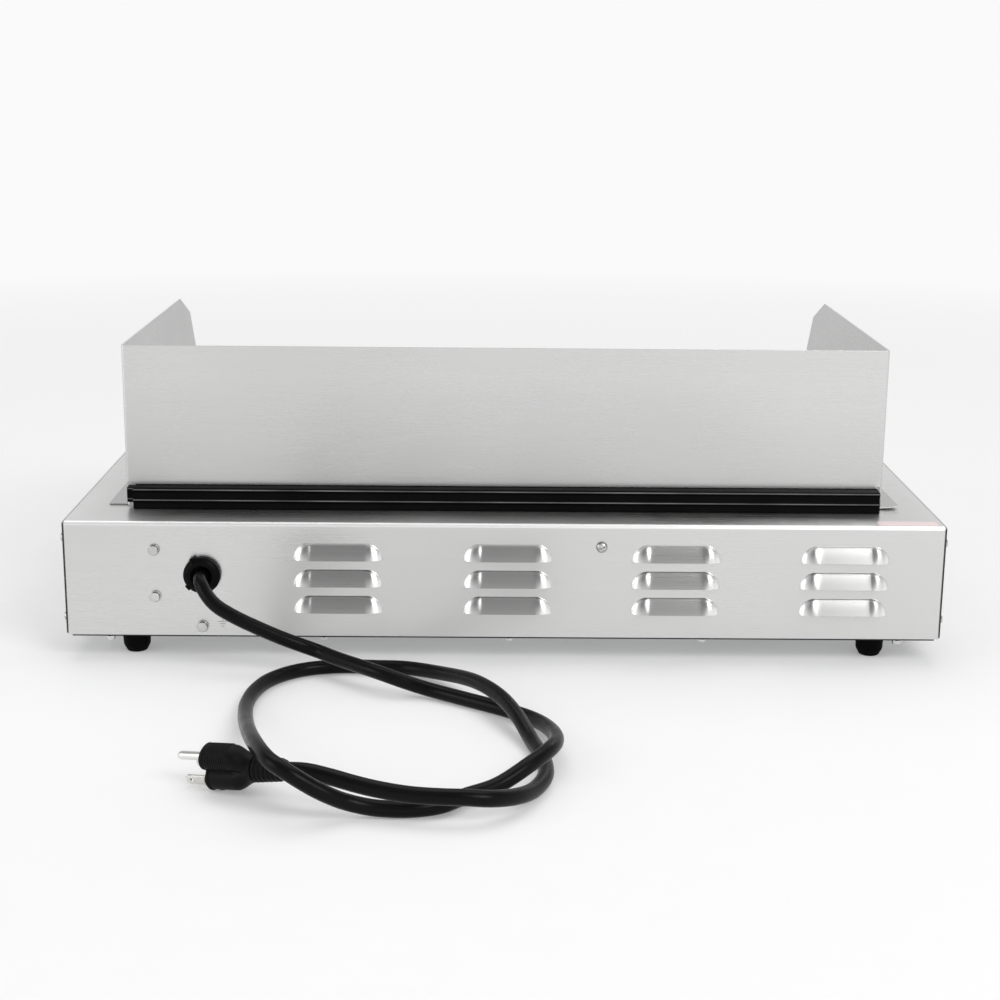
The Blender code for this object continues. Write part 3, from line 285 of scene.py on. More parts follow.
# ================================================================= cast-like materials
def cast(name, colour, rough, metallic, grain, grain_bump, depth, mottle, wear,
         worn=None, bevel=0.3, coat=0.0, specular=0.5, gap_shadow_axis=None, flank_shade_axis=None,
         flank_shade_grey=0.06):
    """Moulded, cast, plated or rubber surface with fine grain, mottling and worn edges.

    Faces along the gap shadow axis get a painted gap shadow; with a flank shade axis, the faces
    off that axis get painted shade in the flank shade grey.
    """
    material, nodes = new_material(name)
    grains = nodes.noise(grain, 2.0, 0.6)
    spots = nodes.noise(35.0, 3.0, 0.55)
    base = nodes.mix(nodes.remap(spots, 0.35, 0.65),
                     scaled(colour, 1 - mottle), scaled(colour, 1 + mottle, 0.0004))
    if wear:
        mask = nodes.times(nodes.edge_mask(0.0006), wear)
        base = nodes.mix(mask, base, worn or scaled(colour, 1.6, 0.03))
    # painted gap shadow on the faces along the given axis
    if gap_shadow_axis:
        base = nodes.mix(nodes.facing(gap_shadow_axis), base, (0.03, 0.03, 0.03))
    # painted shade on the head flanks off the given axis
    if flank_shade_axis:
        base = nodes.mix(nodes.facing(flank_shade_axis, 0.45, 0.80), (flank_shade_grey,) * 3, base)
    roughness = nodes.plus(nodes.remap(grains, 0.3, 0.7, rough - 0.06, rough + 0.06),
                           nodes.remap(spots, 0.3, 0.7, -0.05, 0.05))
    nodes.principled({"Base Color": base, "Metallic": metallic, "Roughness": roughness,
                      "Specular IOR Level": specular})
    if coat:
        nodes.principled({"Coat Weight": coat, "Coat Roughness": 0.08})
    soft = nodes.rounded(bevel * MM) if bevel else None
    nodes.principled({"Normal": nodes.bump(grains, grain_bump, depth, soft)})
    return material


def pilot_lens():
    material, nodes = new_material("pilot_lens")
    spots = nodes.noise(60.0)
    nodes.principled({
        "Base Color": nodes.mix(spots, (0.72, 0.16, 0.02), (0.95, 0.32, 0.05)),
        "Roughness": nodes.remap(spots, 0.3, 0.7, 0.08, 0.16),
        "Subsurface Weight": 0.2,
        "Subsurface Radius": (0.002, 0.001, 0.0005),
        "Coat Weight": 0.6,
        "Normal": nodes.bump(nodes.noise(900.0, 1.0), strength=0.15, distance=0.0001),
    })
    return material


def label_material():
    """Blank white sticker with a plain red bar."""
    material, nodes = new_material("blank_label")
    axes = nodes.axes("TexCoord", "Generated")
    off_x, off_y = (nodes.math("ABSOLUTE", nodes.math("SUBTRACT", axes[a], 0.5)) for a in "XY")
    half_length, half_height = 0.42, 0.11
    bar = nodes.times(nodes.math("LESS_THAN", off_x, half_length),
                      nodes.math("LESS_THAN", off_y, half_height))
    paper = nodes.mix(nodes.noise(300.0), (0.86, 0.85, 0.84), (0.93, 0.92, 0.91))
    colour = nodes.mix(nodes.times(bar, 0.30), paper, (0.80, 0.30, 0.30))
    grains = nodes.noise(1200.0)
    nodes.principled({
        "Base Color": colour,
        "Roughness": nodes.remap(grains, 0.3, 0.7, 0.3, 0.42),
        "Normal": nodes.bump(grains, strength=0.1, distance=0.00003),
    })
    return material


def paint_rib_highlights(material, heights, half, colour):
    """Painted highlight lines along a strip at fixed heights."""
    nodes = Nodes(material.node_tree)
    base = nodes.principled({}).inputs["Base Color"].links[0].from_socket
    height = nodes.axes("TexCoord", "Object")["Z"]
    patchy = nodes.remap(nodes.noise(1.0, stretch=(30.0, 30.0, 30.0)), 0.3, 0.7, 0.35, 1.0)
    for z in heights:
        away = nodes.math("ABSOLUTE", nodes.math("SUBTRACT", height, z * MM))
        line = nodes.times(nodes.remap(away, half * MM * 0.6, half * MM, 1.0, 0.0), patchy)
        base = nodes.mix(line, base, colour)
    nodes.principled({"Base Color": base})


MATERIALS = {
    "steel": brushed("brushed_stainless_x", (0.67, 0.67, 0.665), rough=0.30,
                     wrap=True, painted_end_highlight=True),
    "steel_side": brushed("brushed_stainless_y", (0.61, 0.61, 0.605), rough=0.31,
                          along=(0, 1, 0), painted_end_highlight=True, gap_shadow_axis="Y"),
    "guard": brushed("brushed_stainless_guard", (0.67, 0.67, 0.665), rough=0.29,
                     grain=(1, 1, 0), guard=True),
    "roller": brushed("polished_roller", (0.64, 0.64, 0.635), rough=0.17, along=(0, 1, 0),
                      aniso=0.3, streak=0.05, fine=1500.0, grain_bump=0.1, bevel=0.3,
                      smudge=0.03),
    "contact": brushed("plated_contact", (0.78, 0.77, 0.74), rough=0.24,
                       aniso=0.3, streak=0.05, fine=1500.0, grain_bump=0.15),
}

ZINC = (0.50, 0.51, 0.52)
BLACK = (0.0018, 0.0018, 0.0018)
BRIGHT = (0.85, 0.85, 0.85)
RUBBED = (0.02, 0.02, 0.02)
# material name, colour, roughness, metallic, grain scale, grain bump, bump depth (m),
# mottle, edge wear, further arguments of cast()
CAST_FINISHES = {
    "pan": ("zinc_coated_pan", ZINC, 0.42, 1.0, 260.0, 0.15, 0.00008, 0.14, 0.2,
            dict(gap_shadow_axis="Y")),
    "bolt": ("zinc_plated_bolt", (0.60, 0.60, 0.59), 0.26, 1.0, 500.0, 0.12, 0.00005, 0.08, 0.3,
             dict(worn=BRIGHT, flank_shade_axis="Y")),
    "side_bolt": ("zinc_plated_screw", (0.70, 0.70, 0.69), 0.28, 1.0, 500.0, 0.12, 0.00005,
                  0.08, 0.3, dict(worn=BRIGHT, flank_shade_axis="X", flank_shade_grey=0.45)),
    "etch": ("etched_mark", (0.22, 0.22, 0.22), 0.5, 0.0, 1500.0, 0.3, 0.00003, 0.3, 0.0,
             dict(bevel=0.0)),
    "galvanised": ("zinc_coated_sheet", ZINC, 0.42, 1.0, 260.0, 0.15, 0.00008, 0.14, 0.2, {}),
    "rod": ("oxidised_sheath", (0.16, 0.145, 0.14), 0.5, 1.0, 700.0, 0.3, 0.0001, 0.3, 0.2, {}),
    "chain": ("oiled_chain_steel", (0.27, 0.26, 0.25), 0.36, 1.0, 500.0, 0.2, 0.00008, 0.25, 0.6,
              dict(worn=(0.6, 0.6, 0.6))),
    "motor": ("plated_motor_can", ZINC, 0.34, 1.0, 400.0, 0.15, 0.0001, 0.12, 0.3, {}),
    "polymer": ("bearing_polymer", (0.80, 0.79, 0.75), 0.5, 0.0, 600.0, 0.2, 0.0001, 0.06, 0.15,
                dict(worn=(0.9, 0.9, 0.87))),
    "rubber": ("black_rubber", BLACK, 0.6, 0.0, 1300.0, 0.45, 0.00012, 0.25, 0.2,
               dict(worn=(0.012, 0.012, 0.012), specular=0.045)),
    "seal": ("seal_rubber", BLACK, 0.45, 0.0, 1100.0, 0.25, 0.00008, 0.25, 0.2,
             dict(worn=RUBBED, specular=0.05)),
    "cord": ("cord_jacket", BLACK, 0.30, 0.0, 1500.0, 0.25, 0.00008, 0.2, 0.0,
             dict(specular=0.12)),
    "plug": ("moulded_plug", BLACK, 0.42, 0.0, 1600.0, 0.5, 0.00012, 0.2, 0.3,
             dict(worn=RUBBED, specular=0.12)),
    "nylon": ("black_nylon", BLACK, 0.40, 0.0, 900.0, 0.2, 0.00008, 0.2, 0.3,
              dict(worn=RUBBED, specular=0.06)),
    "knob": ("knob_plastic", (0.006, 0.006, 0.0065), 0.36, 0.0, 1100.0, 0.35, 0.0001, 0.15, 0.35,
             dict(worn=(0.04, 0.04, 0.04), specular=0.35)),
    "rocker": ("rocker_plastic", (0.42, 0.018, 0.018), 0.22, 0.0, 900.0, 0.1, 0.00005, 0.1, 0.3,
               dict(worn=(0.6, 0.10, 0.08), coat=0.4)),
    "print": ("printed_ink", (0.02, 0.02, 0.02), 0.6, 0.0, 1500.0, 0.3, 0.00003, 0.3, 0.0,
              dict(bevel=0.0)),
    "mark": ("white_mark", (0.82, 0.82, 0.80), 0.45, 0.0, 1500.0, 0.2, 0.00003, 0.05, 0.0,
             dict(bevel=0.0)),
    "ceramic": ("terminal_ceramic", (0.76, 0.73, 0.66), 0.25, 0.0, 300.0, 0.1, 0.0001, 0.05,
                0.15, dict(worn=(0.85, 0.83, 0.78), coat=0.3)),
    "plated": ("zinc_plated", (0.72, 0.72, 0.71), 0.22, 1.0, 500.0, 0.12, 0.00005, 0.08, 0.5,
               dict(worn=(0.9, 0.9, 0.9))),
    "thermostat": ("thermostat_steel", (0.58, 0.57, 0.54), 0.32, 1.0, 400.0, 0.15, 0.00008,
                   0.1, 0.3, {}),
}
for finish, (*row, extras) in CAST_FINISHES.items():
    MATERIALS[finish] = cast(*row, **extras)
MATERIALS["pilot"] = pilot_lens()
MATERIALS["label"] = label_material()
# painted highlight lines along the seal's two beads
paint_rib_highlights(MATERIALS["seal"], heights=(DECK_Z + 6.5, DECK_Z + 13.5), half=0.42,
          colour=(0.17, 0.17, 0.17))


# ==================================================================== geometry helpers
def put(obj, finish, replaces=None, smooth=None, body="housing"):
    """Adds a finished piece to the scene; edges sharper than smooth degrees stay sharp."""
    scene.collection.objects.link(obj)
    bpy.context.view_layer.update()
    obj.data.materials.clear()
    obj.data.materials.append(MATERIALS[finish])
    if smooth is not None:
        obj.data.polygons.foreach_set("use_smooth", [True] * len(obj.data.polygons))
        obj.data.set_sharp_from_angle(angle=math.radians(smooth))
    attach(obj, body)
    if replaces:
        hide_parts(replaces)
    return obj


def shift(x, y, z):
    return Matrix.Translation(Vector((x, y, z)) * MM)


def spin(degrees, axis):
    return Matrix.Rotation(math.radians(degrees), 4, axis)


def aim(axis):
    """Turns +Z to the given axis."""
    turn = Vector((0, 0, 1)).rotation_difference(Vector(axis).normalized())
    return turn.to_matrix().to_4x4()


def mesh_object(name, bm):
    bmesh.ops.recalc_face_normals(bm, faces=bm.faces)
    mesh = bpy.data.meshes.new(name)
    bm.to_mesh(mesh)
    bm.free()
    return bpy.data.objects.new(name, mesh)


def add_box(bm, lo, hi):
    lo, hi = Vector(lo) * MM, Vector(hi) * MM
    placed = Matrix.Translation((hi + lo) / 2) @ Matrix.Diagonal((*(hi - lo), 1.0))
    bmesh.ops.create_cube(bm, size=1.0, matrix=placed)


def add_block(bm, local, centre, size):
    """Box given by centre and size in a local frame."""
    stretch = Matrix.Diagonal((*(s * MM for s in size), 1.0))
    bmesh.ops.create_cube(bm, size=1.0, matrix=local @ shift(*centre) @ stretch)


def add_cylinder(bm, start, axis, radius, length, segments=32):
    middle = Vector(start) * MM + Vector(axis) * length * MM / 2
    bmesh.ops.create_cone(bm, cap_ends=True, cap_tris=False, segments=segments,
                          radius1=radius * MM, radius2=radius * MM, depth=length * MM,
                          matrix=Matrix.Translation(middle) @ aim(axis))


def add_loft(bm, rings):
    """Capped skin through rings of points."""
    rings = [[bm.verts.new(Vector(p) * MM) for p in ring] for ring in rings]
    for near, far in zip(rings, rings[1:]):
        for i in range(len(near)):
            j = (i + 1) % len(near)
            bm.faces.new((near[i], near[j], far[j], far[i]))
    bm.faces.new(rings[0][::-1])
    bm.faces.new(rings[-1])


def box_object(name, *boxes):
    bm = bmesh.new()
    for lo, hi in boxes:
        add_box(bm, lo, hi)
    return mesh_object(name, bm)


def on_both_sides(*boxes):
    """The boxes at -x, then the same boxes at +x."""
    out = []
    for side in (-1, 1):
        for lo, hi in boxes:
            x0, x1 = sorted((side * lo[0], side * hi[0]))
            out.append(((x0, *lo[1:]), (x1, *hi[1:])))
    return out


def evaluated_mesh(obj, name):
    """Clean mesh of an object with its modifiers applied."""
    bpy.context.view_layer.update()
    graph = bpy.context.evaluated_depsgraph_get()
    mesh = bpy.data.meshes.new_from_object(obj.evaluated_get(graph))
    mesh.name = name
    bm = bmesh.new()
    bm.from_mesh(mesh)
    bmesh.ops.remove_doubles(bm, verts=bm.verts, dist=1e-6)
    bmesh.ops.dissolve_degenerate(bm, dist=1e-7, edges=bm.edges)
    bmesh.ops.recalc_face_normals(bm, faces=bm.faces)
    bm.to_mesh(mesh)
    bm.free()
    return mesh


def mesh_from(obj, name):
    """Mesh of a temporary object, which is removed."""
    scene.collection.objects.link(obj)
    mesh = evaluated_mesh(obj, name)
    bpy.data.objects.remove(obj, do_unlink=True)
    return mesh


PLANES = {
    "XY": Matrix.Identity(4),
    "YZ": Matrix(((0, 0, 1, 0), (1, 0, 0, 0), (0, 1, 0, 0), (0, 0, 0, 1))),
}


def plate(name, outlines, plane, lo, hi):
    """Flat outlines filled in a plane and extruded from lo to hi along the third axis."""
    curve = bpy.data.curves.new(name, "CURVE")
    curve.dimensions = "2D"
    curve.fill_mode = "BOTH"
    curve.extrude = (hi - lo) / 2 * MM
    for outline in outlines:
        spline = curve.splines.new("POLY")
        spline.points.add(len(outline) - 1)
        for point, (a, b) in zip(spline.points, outline):
            point.co = (a * MM, b * MM, 0, 1)
        spline.use_cyclic_u = True
    mesh = mesh_from(bpy.data.objects.new(name + "_curve", curve), name)
    mesh.transform(PLANES[plane] @ Matrix.Translation((0, 0, (hi + lo) / 2 * MM)))
    return bpy.data.objects.new(name, mesh)


def circle(radius, count):
    turns = [2 * math.pi * i / count for i in range(count)]
    return [(radius * math.cos(t), radius * math.sin(t)) for t in turns]


def rounded_rect(x0, y0, x1, y1, r, steps=6):
    corners = ((x1 - r, y0 + r, -90), (x1 - r, y1 - r, 0),
               (x0 + r, y1 - r, 90), (x0 + r, y0 + r, 180))
    out = []
    for cx, cy, start in corners:
        for i in range(steps + 1):
            t = math.radians(start + 90 * i / steps)
            out.append((cx + r * math.cos(t), cy + r * math.sin(t)))
    return out


def bent_sheet(corners, radius, steps):
    """Section of a bent sheet along outside corners; the material is right of the path."""
    points = [Vector(c) for c in corners]

    def offset_path(depth):
        out = []
        for i, p in enumerate(points):
            if i in (0, len(points) - 1):
                run = (points[1] - p if i == 0 else p - points[-2]).normalized()
                out.append(tuple(p + Vector((run.y, -run.x)) * depth))
                continue
            a, b = (p - points[i - 1]).normalized(), (points[i + 1] - p).normalized()
            turn = math.atan2(a.x * b.y - a.y * b.x, a.dot(b))
            side = -1 if turn < 0 else 1
            outward = Vector((a.y, -a.x)) * side
            centre = p - a * radius * math.tan(abs(turn) / 2) - outward * radius
            r = radius + depth * side
            start = math.atan2(outward.y, outward.x)
            for k in range(steps + 1):
                t = start + turn * k / steps
                out.append((centre.x + r * math.cos(t), centre.y + r * math.sin(t)))
        return out
    return offset_path(0.0) + offset_path(SHEET)[::-1]


def lathe(name, profile, axis, origin, segments=48):
    """Piece turned from (radius, height) points, set on an axis through origin."""
    bm = bmesh.new()
    verts = [bm.verts.new((r * MM, 0, h * MM)) for r, h in profile]
    for a, b in zip(verts, verts[1:]):
        bm.edges.new((a, b))
    if profile[0][0] > 0 or profile[-1][0] > 0:      # a hollow piece has a closed section
        bm.edges.new((verts[-1], verts[0]))
    section = bpy.data.meshes.new(name)
    bm.to_mesh(section)
    bm.free()
    obj = bpy.data.objects.new(name, section)
    screw = obj.modifiers.new("turn", "SCREW")
    screw.axis = "Z"
    screw.angle = 2 * math.pi
    screw.steps = screw.render_steps = segments
    screw.use_merge_vertices = True
    screw.merge_threshold = 0.00001
    solid = mesh_from(obj, name)
    solid.transform(shift(*origin) @ aim(axis))
    return bpy.data.objects.new(name, solid)


def fillet(profile, radii, steps=5):
    """Rounds the corners of a lathe profile; radii is {index: radius}."""
    out = []
    for i, point in enumerate(profile):
        if i not in radii:
            out.append(point)
            continue
        c, a, b = Vector(point), Vector(profile[i - 1]), Vector(profile[(i + 1) % len(profile)])
        to_a, to_b = (a - c).normalized(), (b - c).normalized()
        half = math.acos(max(-1, min(1, to_a.dot(to_b)))) / 2
        cut = min(radii[i] / math.tan(half), (a - c).length * 0.49, (b - c).length * 0.49)
        start, end = c + to_a * cut, c + to_b * cut
        for k in range(steps + 1):
            s = k / steps
            out.append(tuple(start * (1 - s) ** 2 + c * 2 * s * (1 - s) + end * s ** 2))
    return out


def combine(obj, *steps):
    """Applies booleans in order; each step is (object, operation) and uses its object up."""
    scene.collection.objects.link(obj)
    for cutter, operation in steps:
        scene.collection.objects.link(cutter)
        boolean = obj.modifiers.new(operation.lower(), "BOOLEAN")
        boolean.operation = operation
        boolean.solver = "EXACT"
        boolean.object = cutter
    mesh = evaluated_mesh(obj, obj.name)
    obj.modifiers.clear()
    obj.data = mesh
    scene.collection.objects.unlink(obj)
    for cutter, _ in steps:
        bpy.data.objects.remove(cutter, do_unlink=True)
    return obj


def cross_slot(lo, hi, axis, turn, origin=(0, 0, 0)):
    """Boolean steps that cut two crossed slots into a screw head."""
    steps = []
    for k in range(2):
        cutter = box_object("cut_cross_%d" % k, (lo, hi))
        cutter.data.transform(shift(*origin) @ spin(turn + 90 * k, axis))
        steps.append((cutter, "DIFFERENCE"))
    return steps


# ==================================================================== louvered housing
LOUVER_COLUMNS = (-226.0, -113.7, -2.0, 110.8)
LOUVER_ROWS = (70.7, 52.7, 34.6)
LOUVER_HALF, LOUVER_FLAT, LOUVER_H, LOUVER_OUT = 29.7, 19.2, 10.8, 5.8
LOUVER_END_ANGLES = (10, 20, 30, 40, 50, 60, 70, 79, 85, 90)
LOUVER_LEVELS = 12


def add_louver(bm, cx, cz, inset, drop, rear):
    """One pressed louver: a slanted face between domed ends, with a straight lower lip.

    inset shrinks the shape, drop carries it below the lip, and rear is the offset of its flat
    side from the panel.
    """
    flat, high, out = LOUVER_FLAT, LOUVER_H - inset, LOUVER_OUT - inset
    span = LOUVER_HALF - inset - flat
    half_xs = [flat + span * math.sin(math.radians(a)) for a in LOUVER_END_ANGLES]
    half_xs += [flat * k / 8 for k in range(9)]
    half_xs += [flat - d for d in (0.6, 1.2, 1.8, 2.4)]
    part = bmesh.new()
    columns = []                                    # lists of (outer, flat side) vertices
    for x in sorted({round(side * h, 4) for side in (-1, 1) for h in half_xs}):
        e = max(0.0, (abs(x) - flat) / span)
        arch = max(0.0, 1 - e ** 2) ** 0.5
        top = high * max(0.0, 1 - e ** 1.9) ** (1 / 1.75)
        w = min(1.0, max(0.0, (abs(x) - (flat - 2.4)) / 4.6))
        w = w * w * (3 - 2 * w)                     # blends the plain face into the dome
        points = []
        for j in range(LOUVER_LEVELS + 1):
            t = 1 - (1 - j / LOUVER_LEVELS) ** 1.35
            plain = (1 - t) * 0.80 + (1 - t ** 2.4) ** 0.5 * 0.20
            dome = 0.45 * (1 - t) + 0.55 * max(0.0, 1 - t ** 2) ** 0.5
            points.append((out * arch * (plain * (1 - w) + dome * w), t * top))
        if drop:
            points.append((out * arch, -drop))
        column = [[part.verts.new(Vector((cx + x, REAR_Y + y, cz + z)) * MM) for y in (h, rear)]
                  for h, z in points]
        if drop:
            column = column[-1:] + column[:-1]
        columns.append(column)
    for near, far in zip(columns, columns[1:]):
        for j in range(len(near) - 1):
            part.faces.new((near[j][0], far[j][0], far[j + 1][0], near[j + 1][0]))
            part.faces.new((near[j][1], near[j + 1][1], far[j + 1][1], far[j][1]))
        part.faces.new((near[0][0], near[0][1], far[0][1], far[0][0]))
        part.faces.new((near[-1][0], far[-1][0], far[-1][1], near[-1][1]))
    for column in (columns[0], columns[-1]):
        part.faces.new([pair[0] for pair in column] + [pair[1] for pair in column[::-1]])
    bmesh.ops.remove_doubles(part, verts=part.verts, dist=2e-6)
    bmesh.ops.dissolve_degenerate(part, dist=1e-6, edges=part.edges)
    bmesh.ops.recalc_face_normals(part, faces=part.faces)
    mesh = bpy.data.meshes.new("louver")
    part.to_mesh(mesh)
    part.free()
    bm.from_mesh(mesh)
    bpy.data.meshes.remove(mesh)


def panel_cuts():
    """Openings through the front and rear panels."""
    cuts = bmesh.new()

    def hole(x, panel_y, z, radius, segments=32):
        add_cylinder(cuts, (x, panel_y - 5, z), (0, 1, 0), radius, 10, segments)

    add_box(cuts, (-251.5, FRONT_Y - 5, 21.5), (251.5, FRONT_Y + 5, 41.0))
    for x in KNOB_XS.values():
        hole(x, FRONT_Y, CONTROL_Z, 5.0)
    add_box(cuts, (SWITCH_X - 7.3, FRONT_Y - 5, CONTROL_Z - 12.8),
            (SWITCH_X + 7.3, FRONT_Y + 5, CONTROL_Z + 12.8))
    hole(PILOT_X, FRONT_Y, CONTROL_Z, 5.0)
    for x, z in BOLTS.values():
        hole(x, REAR_Y, z, 2.4, 20)
    hole(REAR_SCREW_X, REAR_Y, REAR_SCREW_Z, 2.2, 20)
    hole(CORD_X, REAR_Y, CORD_Z, 9.7, 40)
    return mesh_object("cut_holes", cuts)


def build_wrap():
    """One sheet folded over the front, top and rear."""
    section = bent_sheet([(back(DEPTH), WRAP_BOTTOM), (back(DEPTH), DECK_Z),
                          (back(0), DECK_Z), (back(0), WRAP_BOTTOM)], BEND_R, steps=10)
    wrap = plate("wrap_sheet", [section], "YZ", -WRAP_HALF, WRAP_HALF)
    hoods, windows = bmesh.new(), bmesh.new()
    for x in LOUVER_COLUMNS:
        for z in LOUVER_ROWS:
            add_louver(hoods, x, z, inset=0.0, drop=0.0, rear=-0.5)
            add_louver(windows, x, z - 0.3, inset=1.0, drop=0.35, rear=-3.1)
    # upright tabs inside the four corners
    tabs = [((WRAP_HALF - 1.6, y0, 24.0), (WRAP_HALF - 0.6, y1, 88.0))
            for y0, y1 in ((REAR_Y - 14, REAR_Y - 0.5), (FRONT_Y + 0.5, FRONT_Y + 14))]
    opening = rounded_rect(-OPEN_HALF, back(OPEN_FRONT), OPEN_HALF, back(OPEN_REAR), 4.0)
    combine(
        wrap,
        (mesh_object("cut_hoods", hoods), "UNION"),
        (mesh_object("cut_windows", windows), "DIFFERENCE"),
        (panel_cuts(), "DIFFERENCE"),
        (plate("cut_deck", [opening], "XY", DECK_Z - 6, DECK_Z + 4), "DIFFERENCE"),
        (box_object("cut_tabs", *on_both_sides(*tabs)), "UNION"),
    )
    put(wrap, "steel", "housing_wrap", smooth=32)


build_wrap()


# ======================================================================== splash guard
def spring_flange(mesh):
    """Lifts the rear end of the flange at -x a little."""
    bm = bmesh.new()
    bm.from_mesh(mesh)
    for k in range(1, 13):
        bmesh.ops.bisect_plane(bm, geom=bm.verts[:] + bm.edges[:] + bm.faces[:], dist=1e-7,
                               plane_co=(0, back(47.0 + 9 * k) * MM, 0), plane_no=(0, 1, 0))
    for vert in bm.verts:
        x, y, z = vert.co / MM
        if x < -256.0 and z < GUARD_Z + 1.2:
            ramp = max(0.0, min(1.0, (y - back(155)) / 109.0))
            ramp = ramp * ramp * (3 - 2 * ramp)
            outward = max(0.0, (-x - (GUARD_HALF - 1.0)) / (FLANGE_OUT - GUARD_HALF + 1.0))
            vert.co.z += (0.7 + 0.8 * outward) * ramp * MM
    bm.to_mesh(mesh)
    bm.free()


def build_guard():
    """U-shaped wall round the rear and sides of the deck, with a slot under its rear wall."""
    top = DECK_Z + GUARD_H
    path = bent_sheet([(-GUARD_HALF, back(400)), (-GUARD_HALF, back(GUARD_BACK)),
                       (GUARD_HALF, back(GUARD_BACK)), (GUARD_HALF, back(400))], 2.0, steps=8)
    guard = plate("guard_sheet", [path], "XY", GUARD_Z, top)
    side_view = [(back(397.5), GUARD_Z - 1), (back(40), GUARD_Z - 1), (back(40), top + 2),
                 (back(276), top + 2), (back(280), top), (back(325), DECK_Z + 93.5)]
    slot = ((-256.0, back(47), DECK_Z - 2), (256.0, back(43), DECK_Z + GUARD_GAP_H))
    notch = ((254.2, back(47.4), DECK_Z + 12.0), (259.0, back(43), DECK_Z + 16.6))
    flange = ((GUARD_HALF - 0.8, back(396.3), GUARD_Z), (FLANGE_OUT, back(45.6), GUARD_Z + 1.0))
    combine(
        guard,
        (plate("cut_side_view", [side_view], "YZ", -265, 265), "INTERSECT"),
        (box_object("cut_slot", slot), "DIFFERENCE"),
        (box_object("cut_notch", *on_both_sides(notch)), "DIFFERENCE"),
        (box_object("add_flange", *on_both_sides(flange)), "UNION"),
    )
    spring_flange(guard.data)
    put(guard, "guard", "splash_guard", smooth=32, body="splash_guard")


build_guard()


def smooth_open(points, steps):
    """Catmull-Rom curve through 2-D points."""
    points = [Vector(p) for p in (points[0], *points, points[-1])]
    out = []
    for p0, p1, p2, p3 in zip(points, points[1:], points[2:], points[3:]):
        for k in range(steps):
            t = k / steps
            out.append(tuple(0.5 * ((2 * p1) + (p2 - p0) * t
                                    + (2 * p0 - 5 * p1 + 4 * p2 - p3) * t * t
                                    + (3 * p1 - p0 - 3 * p2 + p3) * t ** 3)))
    out.append(tuple(points[-1]))
    return out


# seal section: distance forward of the rear panel, height above the deck
SEAL_REAR = [
    (34.2, 0.3), (33.9, 0.9), (34.2, 2.4), (34.5, 4.2), (34.2, 5.0), (33.6, 5.5), (33.4, 6.1),
    (33.6, 6.7), (34.3, 7.2), (34.6, 8.2), (34.8, 10.0), (34.9, 11.4), (34.6, 12.1),
    (34.1, 12.5), (34.0, 13.1), (34.3, 13.7), (35.2, 14.2), (36.4, 14.5), (40.0, 14.65),
    (44.2, 14.7),
]
SEAL_FRONT = [(45.9, 14.7), (45.9, 24.0), (48.4, 24.0), (48.4, 0.3)]
seal_section = [(back(a), DECK_Z + b) for a, b in smooth_open(SEAL_REAR, 3) + SEAL_FRONT]
seal = plate("seal_strip", [seal_section], "YZ", -254.5, 251.5)
seal_end = ((250.5, back(45.7), DECK_Z + 4.2), (256.0, back(37.2), DECK_Z + 14.3))
combine(seal, (box_object("add_end", seal_end), "UNION"))
put(seal, "seal", "guard_seal_strip", smooth=40, body="splash_guard")

# ============================================================================= rollers
ROLLER_YS = [back(FIRST_ROLLER + i * ROLLER_PITCH) for i in range(ROLLER_COUNT)]


def sprocket_outline():
    # radius, place within one tooth pitch
    tooth = ((TOOTH_ROOT_R, 0.10), (TOOTH_ROOT_R + 0.5, 0.16), (TOOTH_TIP_R - 0.6, 0.34),
             (TOOTH_TIP_R, 0.41), (TOOTH_TIP_R, 0.59), (TOOTH_TIP_R - 0.6, 0.66),
             (TOOTH_ROOT_R + 0.5, 0.84), (TOOTH_ROOT_R, 0.90))
    out = []
    for k in range(TEETH):
        for r, a in tooth:
            t = 2 * math.pi * (k + a) / TEETH
            out.append((r * math.cos(t), r * math.sin(t)))
    return out


# radius, x: outside from the plain end to the sprocket end, then back through the bore
PLAIN_END, DRIVE_END = 266.0, -276.0
ROLLER_PROFILE = [
    (JOURNAL_R, PLAIN_END), (JOURNAL_R, ROLLER_HALF), (11.4, ROLLER_HALF),
    (12.1, ROLLER_HALF - 0.15), (12.55, ROLLER_HALF - 0.6), (ROLLER_R, ROLLER_HALF - 1.4),
    (ROLLER_R, 1.4 - ROLLER_HALF), (12.55, 0.6 - ROLLER_HALF), (12.1, 0.15 - ROLLER_HALF),
    (11.4, -ROLLER_HALF), (JOURNAL_R, -ROLLER_HALF), (JOURNAL_R, DRIVE_END),
    (BORE_R, DRIVE_END), (BORE_R, 3 - ROLLER_HALF), (11.4, 3 - ROLLER_HALF),
    (11.4, ROLLER_HALF - 3), (BORE_R, ROLLER_HALF - 3), (BORE_R, PLAIN_END),
]
tube = lathe("roller_tube", ROLLER_PROFILE, (1, 0, 0), (0, 0, 0), 56)
combine(tube, (plate("add_gear", [sprocket_outline(), circle(4.3, 24)], "YZ",
                     -SPROCKET_X - 1.5, -SPROCKET_X + 1.5), "UNION"))
for i, y in enumerate(ROLLER_YS, 1):
    mesh = tube.data.copy()
    mesh.transform(shift(0, y, ROLLER_Z))
    put(bpy.data.objects.new("roller_tube_%d" % i, mesh), "roller",
        "roller_%d" % i, smooth=32, body="roller_%d" % i)

# heating rod, from its +x end to the middle; the other half mirrors it
ROD_END = [(0, 288), (1.0, 288), (1.4, 287.5), (1.4, 284.2), (2.6, 284.2), (2.8, 284),
           (2.8, 282.6), (ROD_R, 282.4)]
ROD_PROFILE = ROD_END + [(r, -x) for r, x in ROD_END[::-1]]
for i, y in enumerate(ROLLER_YS, 1):
    rod = lathe("element_%d" % i, ROD_PROFILE, (1, 0, 0), (0, y, ROLLER_Z), 24)
    put(rod, "rod", "heating_rod_%d" % i, smooth=32)

# ===================================================================== chain and drive
SPROCKET_CENTRES = [Vector((back(MOTOR_BACK), MOTOR_Z)), Vector((ROLLER_YS[-1], ROLLER_Z)),
                    Vector((ROLLER_YS[0], ROLLER_Z))]


